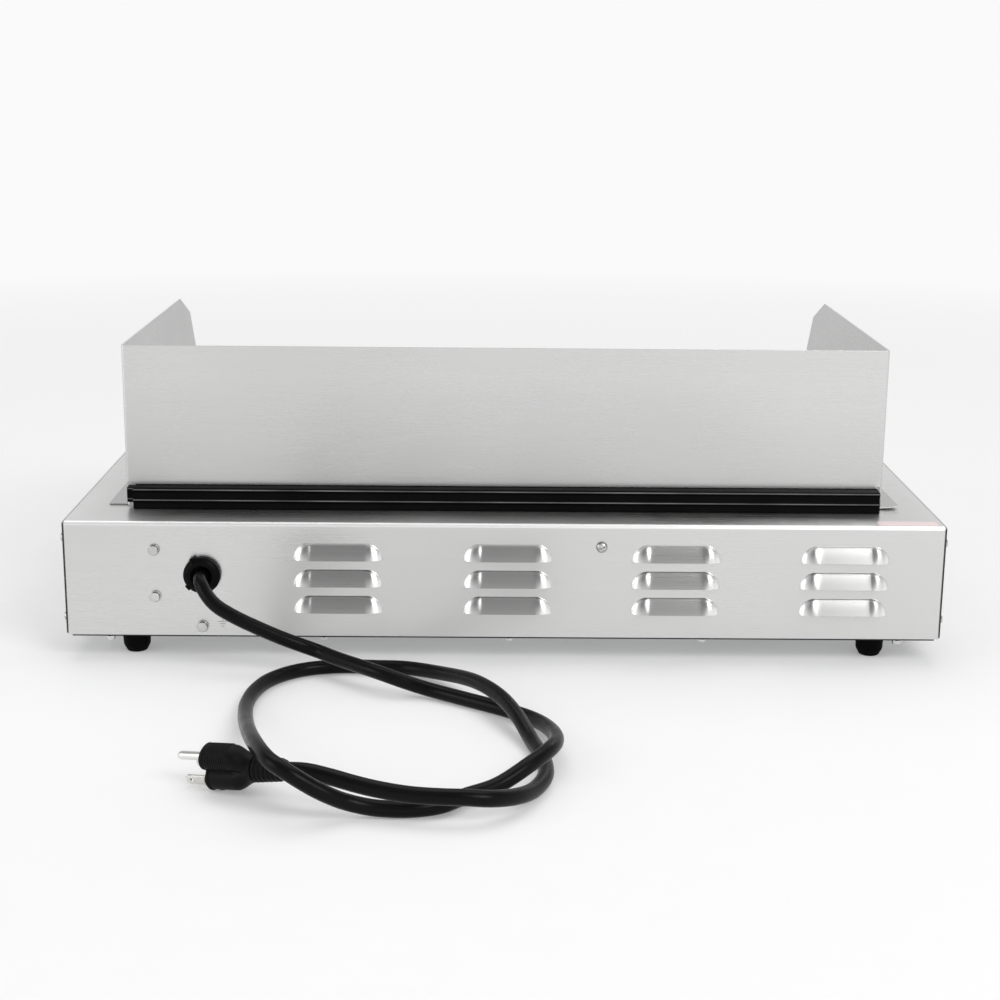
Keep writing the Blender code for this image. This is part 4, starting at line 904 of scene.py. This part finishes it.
def chain_path(radius, steps=40):
    """Line in (y, z) round the motor sprocket and the last and first rollers."""
    out = []
    for i, centre in enumerate(SPROCKET_CENTRES):
        a = (centre - SPROCKET_CENTRES[i - 1]).normalized()
        b = (SPROCKET_CENTRES[(i + 1) % 3] - centre).normalized()
        out_a, out_b = Vector((-a.y, a.x)), Vector((-b.y, b.x))
        start = math.atan2(out_a.y, out_a.x)
        turn = math.atan2(out_a.x * out_b.y - out_a.y * out_b.x, out_a.dot(out_b))
        for k in range(steps + 1):
            t = start + turn * k / steps
            out.append(Vector((centre.x + radius * math.cos(t),
                               centre.y + radius * math.sin(t))))
    return out


def evenly_spaced_pins():
    """Pin centres, an even number of them, close to the chain pitch apart."""
    line = chain_path(CHAIN_LINE_R)
    line.append(line[0])
    lengths = [0.0]
    for a, b in zip(line, line[1:]):
        lengths.append(lengths[-1] + (b - a).length)
    total = lengths[-1]
    count = 2 * round(total / CHAIN_PITCH / 2)
    pins = []
    for k in range(count):
        run = total * k / count
        i = bisect_left(lengths, run, 1) - 1
        pins.append(line[i].lerp(line[i + 1], (run - lengths[i]) / (lengths[i + 1] - lengths[i])))
    return pins


def build_chain():
    """Wide and narrow pairs of waisted side plates in turn, with a pin at every joint."""
    end_r, waist = 1.35, 1.0
    chain = bmesh.new()
    pins = evenly_spaced_pins()
    for k, pin in enumerate(pins):
        following = pins[(k + 1) % len(pins)]
        middle, step = (pin + following) / 2, following - pin
        angle = math.atan2(step.y, step.x)
        shape = []
        for end in (1, -1):
            for j in range(7):
                t = math.radians(30 * j - 90) + (0 if end > 0 else math.pi)
                shape.append((end * step.length / 2 + end_r * math.cos(t), end_r * math.sin(t)))
            shape.append((0, end * waist))
        turned = [(middle.x + a * math.cos(angle) - b * math.sin(angle),
                   middle.y + a * math.sin(angle) + b * math.cos(angle)) for a, b in shape]
        for side in (-1, 1):
            faces_x = (2.35, 2.9) if k % 2 == 0 else (1.75, 2.3)
            add_loft(chain, [[(-SPROCKET_X + side * x, y, z) for y, z in turned]
                             for x in faces_x])
        add_cylinder(chain, (-SPROCKET_X - 3.1, pin.x, pin.y), (1, 0, 0), 0.45, 6.2, 10)
    put(mesh_object("chain_links", chain), "chain", "drive_chain", smooth=40)


build_chain()

drive = lathe("drive_gear", [(0, 20), (2.6, 20), (3.0, 19.6), (3.0, 5.2), (5.4, 5.2), (5.6, 5.0),
                             (5.6, -4.6), (5.4, -4.8), (3.0, -4.8), (3.0, -5.6), (2.6, -6),
                             (0, -6)],
              (1, 0, 0), (-SPROCKET_X, back(MOTOR_BACK), MOTOR_Z), 32)
gear_plate = plate("add_gear_plate", [sprocket_outline()], "YZ", -1.5, 1.5)
gear_plate.data.transform(shift(-SPROCKET_X, back(MOTOR_BACK), MOTOR_Z))
combine(drive, (gear_plate, "UNION"))
put(drive, "chain", "drive_sprocket", smooth=32, body="drive_sprocket")

motor_profile = fillet([(3.4, 0), (24.0, 0), (24.0, -12), (21.5, -12.6), (21.5, -30),
                        (19.0, -31.5), (7.0, -31.5), (7.0, -33.5), (0, -33.5), (0, -10),
                        (3.4, -10)], {1: 0.6, 2: 0.8, 4: 1.5})
motor = lathe("gearmotor", motor_profile, (-1, 0, 0), (-254.1, back(MOTOR_BACK), MOTOR_Z))
put(motor, "motor", "drive_motor", smooth=32)

# ================================================================================ feet
FOOT_X, FOOT_INSET = 250, 21.5
FOOT_PROFILE = fillet([(0, FOOT_H - GAP), (9.3, FOOT_H - GAP), (9.4, 10.6), (9.0, 4.6),
                       (6.6, 0.0), (3.2, 0.0), (2.6, 1.6), (0, 1.6)],
                      {1: 0.4, 2: 0.4, 3: 2.6, 4: 1.6, 5: 0.3})
for end, inset in (("rear", FOOT_INSET), ("front", DEPTH - FOOT_INSET)):
    for side, x in (("left", -FOOT_X), ("right", FOOT_X)):
        corner = "%s_%s" % (end, side)
        foot = lathe("rubber_" + corner, FOOT_PROFILE, (0, 0, 1), (x, back(inset), 0))
        put(foot, "rubber", "foot_" + corner, smooth=40)

# ==================================================================== bolts and screws
for name, (x, z) in BOLTS.items():
    r, h = (4.1, 3.2) if name == "earth_bolt" else (3.9, 3.0)
    profile = [(0, h), (r * 0.55, h - 0.05), (r * 0.80, h - 0.3), (r * 0.86, h - 0.7),
               (r * 0.86, 0.95), (r, 0.75), (r, GAP), (2.0, GAP), (2.0, -10.0), (0, -10.6)]
    put(lathe("head_" + name, profile, (0, 1, 0), (x, REAR_Y, z), 40),
        "bolt", name, smooth=32)

rear_screw_at = (REAR_SCREW_X, REAR_Y, REAR_SCREW_Z)
screw = lathe("head_rear_screw", [(0, 2.4), (1.7, 2.3), (2.9, 1.75), (3.6, 0.9), (3.7, GAP),
                                  (1.8, GAP), (1.8, -7.6), (0, -8)],
              (0, 1, 0), rear_screw_at, 40)
combine(screw, *cross_slot((-2.2, 1.35, -0.42), (2.2, 4.0, 0.42), "Y", 20, rear_screw_at))
put(screw, "bolt", "rear_panel_screw", smooth=32)

PAN_HEAD = [(0, 2.3), (1.6, 2.2), (2.7, 1.7), (3.2, 0.8), (3.25, 0.02), (1.5, 0.02), (1.5, -0.6),
            (0, -0.6)]


def pan_screw(name, at, axis, turn, finish="plated", tall=1.0):
    """Pan head screw with a cross slot; turn is in degrees, tall stretches the head."""
    head = lathe(name, PAN_HEAD, (0, 0, 1), (0, 0, 0), 28)
    combine(head, *cross_slot((-1.9, -0.36, 1.2), (1.9, 0.36, 4.0), "Z", turn))
    head.data.transform(shift(*at) @ aim(axis) @ Matrix.Diagonal((1.0, 1.0, tall, 1.0)))
    put(head, finish, smooth=32)


# side, direction in x, heights of the two rear screws, first slot turn
for side, sign, (upper, lower), turn in (("right", 1, (83.1, 28.6), 11),
                                         ("left", -1, (82.8, 29.9), 52)):
    spots = ((REAR_Y - 6, upper), (REAR_Y - 6, lower), (FRONT_Y + 9, 80.0), (FRONT_Y + 9, 30.0))
    for k, (y, z) in enumerate(spots):
        pan_screw("side_screw_%s_%d" % (side, k + 1), (sign * WIDTH / 2, y, z), (sign, 0, 0),
                  23 * k + turn, "side_bolt")
for k, x in enumerate((264.1, 121.0, -3.0, -133.0, -264.5)):
    pan_screw("pan_screw_rear_%d" % (k + 1), (x, REAR_Y - 3.8, FOOT_H), (0, 0, -1), 31 * k,
              tall=1.7 if abs(x) > 200 else 1.1)
    pan_screw("pan_screw_front_%d" % (k + 1), (x, FRONT_Y + 8.5, FOOT_H), (0, 0, -1), 17 * k + 8)


# ========================================================== cord bushing, mark and label
def build_bushing():
    """Strain relief ring round the cord, with two notched lugs."""
    bore = CORD_R + 0.45
    profile = fillet([(7.4, 6.6), (9.6, 6.4), (11.3, 5.2), (12.25, 4.2), (12.25, GAP),
                      (9.3, GAP), (9.3, -11), (8.0, -13), (bore, -13), (bore, 1.2), (6.8, 5.6)],
                     {1: 0.5, 2: 0.6, 3: 0.8})
    relief = lathe("cord_bushing", profile, (0, 1, 0), (CORD_X, REAR_Y, CORD_Z), 56)
    lugs, gaps = bmesh.new(), bmesh.new()
    for angle in (62, -42):
        local = shift(CORD_X, REAR_Y, CORD_Z) @ spin(-angle, "Y")
        add_block(lugs, local, centre=(11.6, 2.4, 0), size=(3.4, 4.0, 3.8))
        add_block(gaps, local, centre=(11.2, 5.2, 0), size=(2.6, 1.8, 1.5))
    combine(relief, (mesh_object("add_lugs", lugs), "UNION"),
            (mesh_object("cut_gaps", gaps), "DIFFERENCE"))
    put(relief, "nylon", "strain_relief", smooth=35)


build_bushing()

# earth mark: three bars under a short stem; each row is half width, bottom, top
EARTH_BARS = [(half, z - 0.22, z + 0.22) for half, z in ((3.1, 0.6), (2.0, -1.0), (1.0, -2.6))]
EARTH_BARS.append((0.22, 0.82, 3.4))
earth_mark = box_object("earth_mark", *(
    ((EARTH_MARK_X - half, REAR_Y + 0.01, EARTH_MARK_Z + z0),
     (EARTH_MARK_X + half, REAR_Y + 0.06, EARTH_MARK_Z + z1)) for half, z0, z1 in EARTH_BARS))
put(earth_mark, "etch")

label = plate("blank_label", [rounded_rect(-288.0, back(14.0), -248.0, back(2.9), 1.0)], "XY",
              DECK_Z + 0.01, DECK_Z + 0.09)
put(label, "label")

# ================================================================================ cord
# the plug lies aslant on the floor; its own axes run towards the pins, sideways and up
PLUG_FACE = Vector((161.0, REAR_Y + 215.5, 9.0))
PLUG_TURN, PLUG_TIP, PLUG_ROLL = (math.radians(a) for a in (26.5, -8.0, 24.7))
plug_along = Vector((math.cos(PLUG_TURN) * math.cos(PLUG_TIP),
                     -math.sin(PLUG_TURN) * math.cos(PLUG_TIP), math.sin(PLUG_TIP)))
level_side = Vector((math.sin(PLUG_TURN), math.cos(PLUG_TURN), 0.0))
level_up = plug_along.cross(level_side)
plug_side = level_side * math.cos(PLUG_ROLL) - level_up * math.sin(PLUG_ROLL)
plug_up = level_side * math.sin(PLUG_ROLL) + level_up * math.cos(PLUG_ROLL)
plug_frame = shift(*PLUG_FACE) @ Matrix((plug_along, plug_side, plug_up)).transposed().to_4x4()

# x, distance behind the rear panel, z
CORD_STATIONS = [
    (CORD_X, -20, CORD_Z), (CORD_X, 0, CORD_Z), (CORD_X, 6, CORD_Z), (200.3, 13.5, 59.4),
    (195.6, 20.0, 52.1), (188.6, 24.5, 45.7), (177.6, 27.5, 39.7), (162.3, 29.0, 32.6),
    (143.5, 29.5, 24.5), (123.0, 29.9, 17.0), (108.1, 42.1, 15.6), (92.8, 55.2, 15.2),
    (79.6, 64.9, 14.2), (68.6, 68.9, 11.6), (57.9, 69.9, 8.2), (46.4, 73.6, 6.0),
    (27.1, 85.1, 5.0), (-1, 106, 5.0), (-18, 126, 6.2), (-26.5, 152, 9.6),
    (-28, 176, 13.2), (-23.5, 196, 15.6), (-13, 211, 13.4), (6, 226, 6.4),
    (25, 239, 5.0), (36.1, 250.0, 5.0), (47.9, 254.6, 5.0), (59.7, 255.7, 5.0),
    (74.2, 255.4, 6.0), (86.8, 257.2, 9.8), (95.8, 261.1, 15.2), (104.4, 262.5, 20.4),
    (112.1, 263.0, 25.6), (119.6, 261.2, 29.8), (126.6, 255.7, 32.0), (132.3, 244.5, 32.2),
    (138.5, 224.3, 29.4), (145.6, 192.8, 22.6), (152.0, 158.9, 15.2), (157.1, 126.8, 9.2),
    (159.9, 97.3, 5.6), (158.2, 74.9, 5.0), (152.5, 56.1, 5.0), (142.0, 41.3, 5.0),
    (128.2, 31.5, 5.0), (112.0, 26.9, 5.0), (97.7, 26.0, 5.0), (83.8, 27.5, 5.2),
    (67, 28, 5.0), (43, 45, 7.6), (19, 79, 14.0), (3, 110, 14.9),
    (-7, 134, 11.2), (-14.5, 156, 5.4), (-19, 176, 5.0), (-21.5, 195, 5.0),
    (-20.5, 211, 5.0), (-14, 230, 5.6), (-3, 249, 9.6), (11, 261, 13.6),
    (23.2, 263.2, 15.2), (35.8, 263.0, 15.4), (52.7, 260.7, 15.6), (69.8, 256.3, 16.6),
    (82.8, 252.5, 18.2), (95.8, 247.7, 20.0),
]
CORD_ROUTE = [(x, REAR_Y + y, z) for x, y, z in CORD_STATIONS]
CORD_ROUTE += [PLUG_FACE + plug_along * a + plug_up * 4.5 for a in (-60, -47, -40)]


def smooth_route(points, step):
    """Centripetal Catmull-Rom curve through the points, cut into nearly equal steps."""
    points = [Vector(p) for p in points]
    points = [points[0] * 2 - points[1]] + points + [points[-1] * 2 - points[-2]]
    fine = []
    for p0, p1, p2, p3 in zip(points, points[1:], points[2:], points[3:]):
        t0 = 0.0
        t1 = t0 + (p1 - p0).length ** 0.5
        t2 = t1 + (p2 - p1).length ** 0.5
        t3 = t2 + (p3 - p2).length ** 0.5
        for k in range(16):
            t = t1 + (t2 - t1) * k / 16
            a1 = p0 * ((t1 - t) / (t1 - t0)) + p1 * ((t - t0) / (t1 - t0))
            a2 = p1 * ((t2 - t) / (t2 - t1)) + p2 * ((t - t1) / (t2 - t1))
            a3 = p2 * ((t3 - t) / (t3 - t2)) + p3 * ((t - t2) / (t3 - t2))
            b1 = a1 * ((t2 - t) / (t2 - t0)) + a2 * ((t - t0) / (t2 - t0))
            b2 = a2 * ((t3 - t) / (t3 - t1)) + a3 * ((t - t1) / (t3 - t1))
            fine.append(b1 * ((t2 - t) / (t2 - t1)) + b2 * ((t - t1) / (t2 - t1)))
    fine.append(points[-2])
    out, run = [fine[0]], 0.0
    for a, b in zip(fine, fine[1:]):
        run += (b - a).length
        if run >= step:
            out.append(b)
            run = 0.0
    if (out[-1] - fine[-1]).length > step * 0.5:
        out.append(fine[-1])
    else:
        out[-1] = fine[-1]
    return out


def build_cord():
    curve = bpy.data.curves.new("cord_curve", "CURVE")
    curve.dimensions = "3D"
    curve.bevel_depth = CORD_R * MM
    curve.bevel_resolution = 6
    curve.use_fill_caps = True
    route = smooth_route(CORD_ROUTE, 3.5)
    spline = curve.splines.new("POLY")
    spline.points.add(len(route) - 1)
    for point, at in zip(spline.points, route):
        point.co = (at.x * MM, at.y * MM, at.z * MM, 1)
    mesh = mesh_from(bpy.data.objects.new("cord_curve", curve), "cord")
    cord = put(bpy.data.objects.new("cord", mesh), "cord", "power_cord", smooth=60)
    cord.visible_glossy = False       # keeps it out of the blurred reflections in the rear panel


build_cord()

# ================================================================================ plug
PLUG_N = 96
PLUG_CENTRE_Z = 5.0
# the two lobes of the grip: centre height, half width, half height, superellipse power
LOBES = [(-0.1, 10.6, 7.7, 2.5), (12.2, 8.2, 6.4, 2.3)]


def lobed_outline():
    """Distance from the grip's centre to the edge of its two lobes in each direction."""
    radii = []
    for i in range(PLUG_N):
        t = 2 * math.pi * i / PLUG_N
        edge, r = 0.0, 0.0
        while r < 16.0:
            y, z = r * math.cos(t), PLUG_CENTRE_Z + r * math.sin(t)
            if any(abs(y / half_w) ** power + abs((z - centre) / half_h) ** power <= 1.0
                   for centre, half_w, half_h, power in LOBES):
                edge = r
            r += 0.04
        radii.append(edge)
    for _ in range(2):
        radii = [0.25 * radii[i - 1] + 0.5 * radii[i] + 0.25 * radii[(i + 1) % PLUG_N]
                 for i in range(PLUG_N)]
    return radii


LOBED = lobed_outline()


def plug_ring(a, grow=0.0, rib=0.0, to_round=0.0, radius=7.0, lean=0.0):
    """Section at a along the plug, in the plug's own axes.

    grow offsets the lobed outline, rib raises its upper part, to_round blends it into a circle
    of the given radius, and lean sets the waist and the lower part back.
    """
    points = []
    for i in range(PLUG_N):
        t = 2 * math.pi * i / PLUG_N
        c, s = math.cos(t), math.sin(t)
        upper = max(0.0, min(1.0, (s + 0.05) * 2.2))
        r = (LOBED[i] + grow + rib * upper) * (1 - to_round) + radius * to_round
        z = PLUG_CENTRE_Z + r * s - 0.5 * to_round
        set_back = max(0.0, 1 - abs(z - 5.6) / 3.0), 0.5 * max(0.0, (4.0 - z) / 8.0)
        points.append((a - lean * set_back[0] - lean * set_back[1], r * c, z))
    return points


def plug_rings():
    # face: place along, grow, lean
    rings = [plug_ring(a, grow, lean=lean) for a, grow, lean in (
        (2.6, -2.2, 0.9), (2.4, -1.1, 0.9), (1.9, -0.35, 0.9), (1.2, 0.0, 0.7),
        (0.1, 0.0, 0.4), (-0.5, -0.5, 0.2), (-0.8, -0.6, 0.0))]
    # ribbed grip: distance within one rib, rib height
    for k in range(9):
        for run, rib in ((0.0, 0.0), (0.35, 0.50), (0.8, 0.60), (1.15, 0.1)):
            rings.append(plug_ring(-1.2 - 1.55 * k - run, -0.6, rib))
    # neck
    for k in range(1, 9):
        f = k / 8
        rings.append(plug_ring(-16.0 - 12.0 * f, -0.5, to_round=f * f * (3 - 2 * f), radius=7.6))
    # tapered tail of collars: distance within one collar, radius step
    for k in range(6):
        for run, step in ((0.0, -0.6), (0.3, -0.6), (0.7, 0.0), (1.0, 0.15), (1.8, 0.15),
                          (2.1, 0.0), (2.5, -0.6)):
            rings.append(plug_ring(-28.4 - 2.85 * k - run, to_round=1.0,
                                   radius=7.4 - 0.22 * k + step))
    return rings + [plug_ring(a, to_round=1.0, radius=r) for a, r in ((-46.0, 5.9), (-46.9, 5.6))]


def build_plug():
    bm = bmesh.new()
    add_loft(bm, plug_rings())
    # small round bump under the grip
    bump = lathe("add_bump", fillet([(0, 1.6), (2.6, 1.6), (2.6, -3.0), (0, -3.0)], {1: 0.9}),
                 (0, -0.3, -1), (-2.6, 5.0, -6.6), 24)
    bm.from_mesh(bump.data)
    bpy.data.objects.remove(bump, do_unlink=True)
    plug = mesh_object("plug_grip", bm)
    plug.data.transform(plug_frame)
    for vert in plug.data.vertices:                 # nothing sinks into the floor
        vert.co.z = max(vert.co.z, 0.0003)
    put(plug, "plug", "plug_body", smooth=38)
    pin = lathe("earth_pin", [(0, 21.0), (0.7, 20.95), (1.4, 20.6), (2.0, 19.8), (2.32, 18.8),
                              (2.4, 17.8), (2.4, -8.5), (0, -8.5)], (1, 0, 0), (0, 0, 11.9), 36)
    pin.data.transform(plug_frame)
    put(pin, "contact", "plug_ground_pin", smooth=32)


build_plug()

# ====================================================================== front controls
KNOB_PROFILE = fillet([(3.4, 18.0), (0, 18.0), (0, 22.5), (12.6, 22.5), (13.3, 20.9),
                       (14.0, 7.4), (18.4, 5.0), (19.2, 3.4), (19.2, 1.8), (3.4, 1.8)],
                      {3: 1.2, 4: 0.8, 5: 1.4, 6: 0.8, 7: 0.6, 8: 0.3})
KNOB_TURN = 150


def build_knob(side, x):
    """Fluted knob with a grip bar and a white pointer, and the scale printed round it."""
    placed = shift(x, FRONT_Y, CONTROL_Z) @ spin(90, "X")
    turned = placed @ spin(KNOB_TURN, "Z")
    knob = lathe("dial_knob_" + side, KNOB_PROFILE, (0, 0, 1), (0, 0, 0), 72)
    flutes = bmesh.new()
    for k in range(18):
        t = 2 * math.pi * (k + 0.5) / 18
        add_cylinder(flutes, (14.75 * math.cos(t), 14.75 * math.sin(t), 8.6), (0, 0, 1),
                     1.35, 15, 12)
    bar = plate("add_bar", [rounded_rect(-2.7, -13.2, 2.7, 13.2, 1.6, 4)], "XY", 20.0, 25.5)
    groove = box_object("cut_line", ((-0.55, 5.0, 25.1), (0.55, 12.4, 27.0)))
    combine(knob, (mesh_object("cut_flutes", flutes), "DIFFERENCE"), (bar, "UNION"),
            (groove, "DIFFERENCE"))
    knob.data.transform(turned)
    put(knob, "knob", "knob_" + side, smooth=35, body="knob_" + side)
    pointer = box_object("knob_pointer_" + side, ((-0.5, 5.1, 25.12), (0.5, 12.3, 25.48)))
    pointer.data.transform(turned)
    put(pointer, "mark", body="knob_" + side)
    ticks = bmesh.new()
    for k in range(31):
        # inner radius, outer radius, half width; every third tick is a long one
        r0, r1, half = (20.4, 22.6, 0.32) if k % 3 == 0 else (20.9, 22.0, 0.18)
        add_block(ticks, placed @ spin(240 - 10 * k, "Z"),
                  centre=((r0 + r1) / 2, 0, 0.05), size=(r1 - r0, 2 * half, 0.06))
    put(mesh_object("dial_ticks_" + side, ticks), "print")


for side, x in KNOB_XS.items():
    build_knob(side, x)

pilot_profile = fillet([(0, 5.2), (2.6, 4.8), (4.2, 3.8), (4.9, 1.7), (6.4, 1.7), (6.6, 1.4),
                        (6.6, 0.3), (4.7, 0.3), (4.7, -14), (3.0, -14), (3.0, -18), (0, -18)],
                       {2: 0.8, 4: 0.2})
pilot = lathe("pilot_lamp", pilot_profile, (0, -1, 0), (PILOT_X, FRONT_Y, CONTROL_Z))
put(pilot, "pilot", "pilot_light", smooth=35)

# ============================================================= carried-over CAD pieces
# material, edge bevel width (0 for none), CAD nodes
CAD_FINISHES = (
    ("steel_side", 0.2, ("side_cover_left", "side_cover_right")),
    ("steel", 0.2, ("drip_tray",)),
    ("pan", 0.0, ("bottom_pan",)),
    ("galvanised", 0.0, ("end_wall_left", "end_wall_right", "rod_holder_left",
                         "rod_holder_right", "tray_rail_left", "tray_rail_right")),
    ("polymer", 0.0, ("bearing_strip_left", "bearing_strip_right")),
    ("thermostat", 0.3, ("thermostat_left", "thermostat_right")),
    ("ceramic", 0.3, ("terminal_block",)),
    ("knob", 0.3, ("power_switch_housing",)),
    ("rocker", 0.35, ("power_rocker",)),
    ("contact", 0.2, ("plug_blade_near", "plug_blade_far")),
)


def refine(obj, finish, width):
    """Keeps a CAD shape, softens its edges and gives it a material."""
    weld = obj.modifiers.new("weld", "WELD")
    weld.merge_threshold = 1e-6
    if width:
        bevel = obj.modifiers.new("soft_edges", "BEVEL")
        bevel.width = width * MM
        bevel.segments = 2
        bevel.limit_method = "ANGLE"
        bevel.angle_limit = math.radians(40)
    obj.data.materials.clear()
    obj.data.materials.append(MATERIALS[finish])


for finish, width, names in CAD_FINISHES:
    for name in names:
        refine(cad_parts[name], finish, width)

# ==================================================================== floor and studio
BACKDROP = (0.955, 0.955, 0.955, 1.0)


def floor_material():
    """Pale matt floor near the object, which melts into the flat backdrop farther out."""
    material, nodes = new_material("studio_floor")
    grain = nodes.noise(40.0, 3.0)
    surface = nodes.principled({
        "Roughness": 0.75, "Specular IOR Level": 0.2,
        "Base Color": nodes.mix(grain, (0.70, 0.70, 0.70), (0.72, 0.72, 0.72)),
        "Emission Color": (1, 1, 1, 1), "Emission Strength": 0.23,
    })
    glow = nodes.new("Emission", {"Color": BACKDROP})
    position = nodes.new("NewGeometry", {}).outputs["Position"]
    fade_start, fade_end = 0.8, 2.2                 # metres from the origin
    far = nodes.remap(nodes.vector("LENGTH", position)["Value"], fade_start, fade_end)
    mixed = nodes.new("MixShader", {0: far, 1: surface.outputs["BSDF"],
                                    2: glow.outputs["Emission"]})
    output = material.node_tree.nodes["Material Output"]
    nodes.feed(output.inputs["Surface"], mixed.outputs["Shader"])
    return material


floor_bm = bmesh.new()
bmesh.ops.create_circle(floor_bm, cap_ends=True, segments=96, radius=14.0)
floor = mesh_object("studio_floor", floor_bm)
floor.data.materials.append(floor_material())
if floor.data.polygons[0].normal.z < 0:             # a lone face may be wound either way
    floor.data.flip_normals()
scene.collection.objects.link(floor)

# greys of the room seen in reflections: height from straight down (0) to straight up (1), grey
ROOM_GREYS = ((0.0, 0.80), (0.48, 0.95), (0.62, 0.88), (0.76, 0.42), (1.0, 0.50))


def build_world():
    """Flat backdrop for the camera, graded room for everything else."""
    world = bpy.data.worlds.new("studio")
    scene.world = world
    world.use_nodes = True
    world.node_tree.nodes.clear()
    nodes = Nodes(world.node_tree)
    flat = nodes.new("Background", {"Color": BACKDROP})
    height = nodes.axes("TexCoord", "Generated")["Z"]
    ramp = nodes.new("ValToRGB", {"Fac": nodes.remap(height, -1.0, 1.0)})
    ramp.color_ramp.interpolation = "EASE"
    elements = ramp.color_ramp.elements
    for position, _ in ROOM_GREYS[1:-1]:
        elements.new(position)
    for element, (_, grey) in zip(elements, ROOM_GREYS):
        element.color = (grey, grey, grey, 1)
    room = nodes.new("Background", {"Color": ramp.outputs["Color"]})
    seen = nodes.new("LightPath", {}).outputs["Is Camera Ray"]
    mixed = nodes.new("MixShader", {0: seen, 1: room.outputs["Background"],
                                    2: flat.outputs["Background"]})
    nodes.new("OutputWorld", {"Surface": mixed.outputs["Shader"]})


build_world()

# name, place (m), target (m), width (m), height (m), power (W)
AREA_LIGHTS = (
    ("softbox_right", (-1.30, 1.75, 1.75), (0, 0.1, 0.1), 1.3, 1.0, 26.0),
    ("softbox_left", (1.9, 0.9, 0.8), (0, 0.1, 0.1), 0.9, 1.2, 8.0),
    ("overhead", (0.0, -0.7, 2.3), (0, 0, 0), 2.4, 1.8, 19.0),
)
for name, place, target, width, height, power in AREA_LIGHTS:
    data = bpy.data.lights.new(name, "AREA")
    data.shape = "RECTANGLE"
    data.size = width
    data.size_y = height
    data.energy = power
    light = bpy.data.objects.new(name, data)
    light.location = place
    light.rotation_mode = "QUATERNION"
    light.rotation_quaternion = (Vector(target) - Vector(place)).to_track_quat("-Z", "Y")
    scene.collection.objects.link(light)

# the camera stands behind the grill and looks at its rear panel
CAMERA_PLACE = Vector((0.01532, 1.23484, 0.39447))  # metres
CAMERA_RIGHT = Vector((-0.99993, 0.00791, 0.00895))
CAMERA_UP = Vector((0.00678, -0.24050, 0.97062))
CAMERA_FORWARD = Vector((-0.00983, -0.97061, -0.24043))
camera_data = bpy.data.cameras.new("camera")
camera_data.sensor_width = 36.0
camera_data.lens = 64.36
camera = bpy.data.objects.new("camera", camera_data)
camera_axes = Matrix((CAMERA_RIGHT, CAMERA_UP, -CAMERA_FORWARD)).transposed().to_4x4()
camera.matrix_world = Matrix.Translation(CAMERA_PLACE) @ camera_axes
scene.collection.objects.link(camera)
scene.camera = camera
scene.view_settings.view_transform = "Standard"
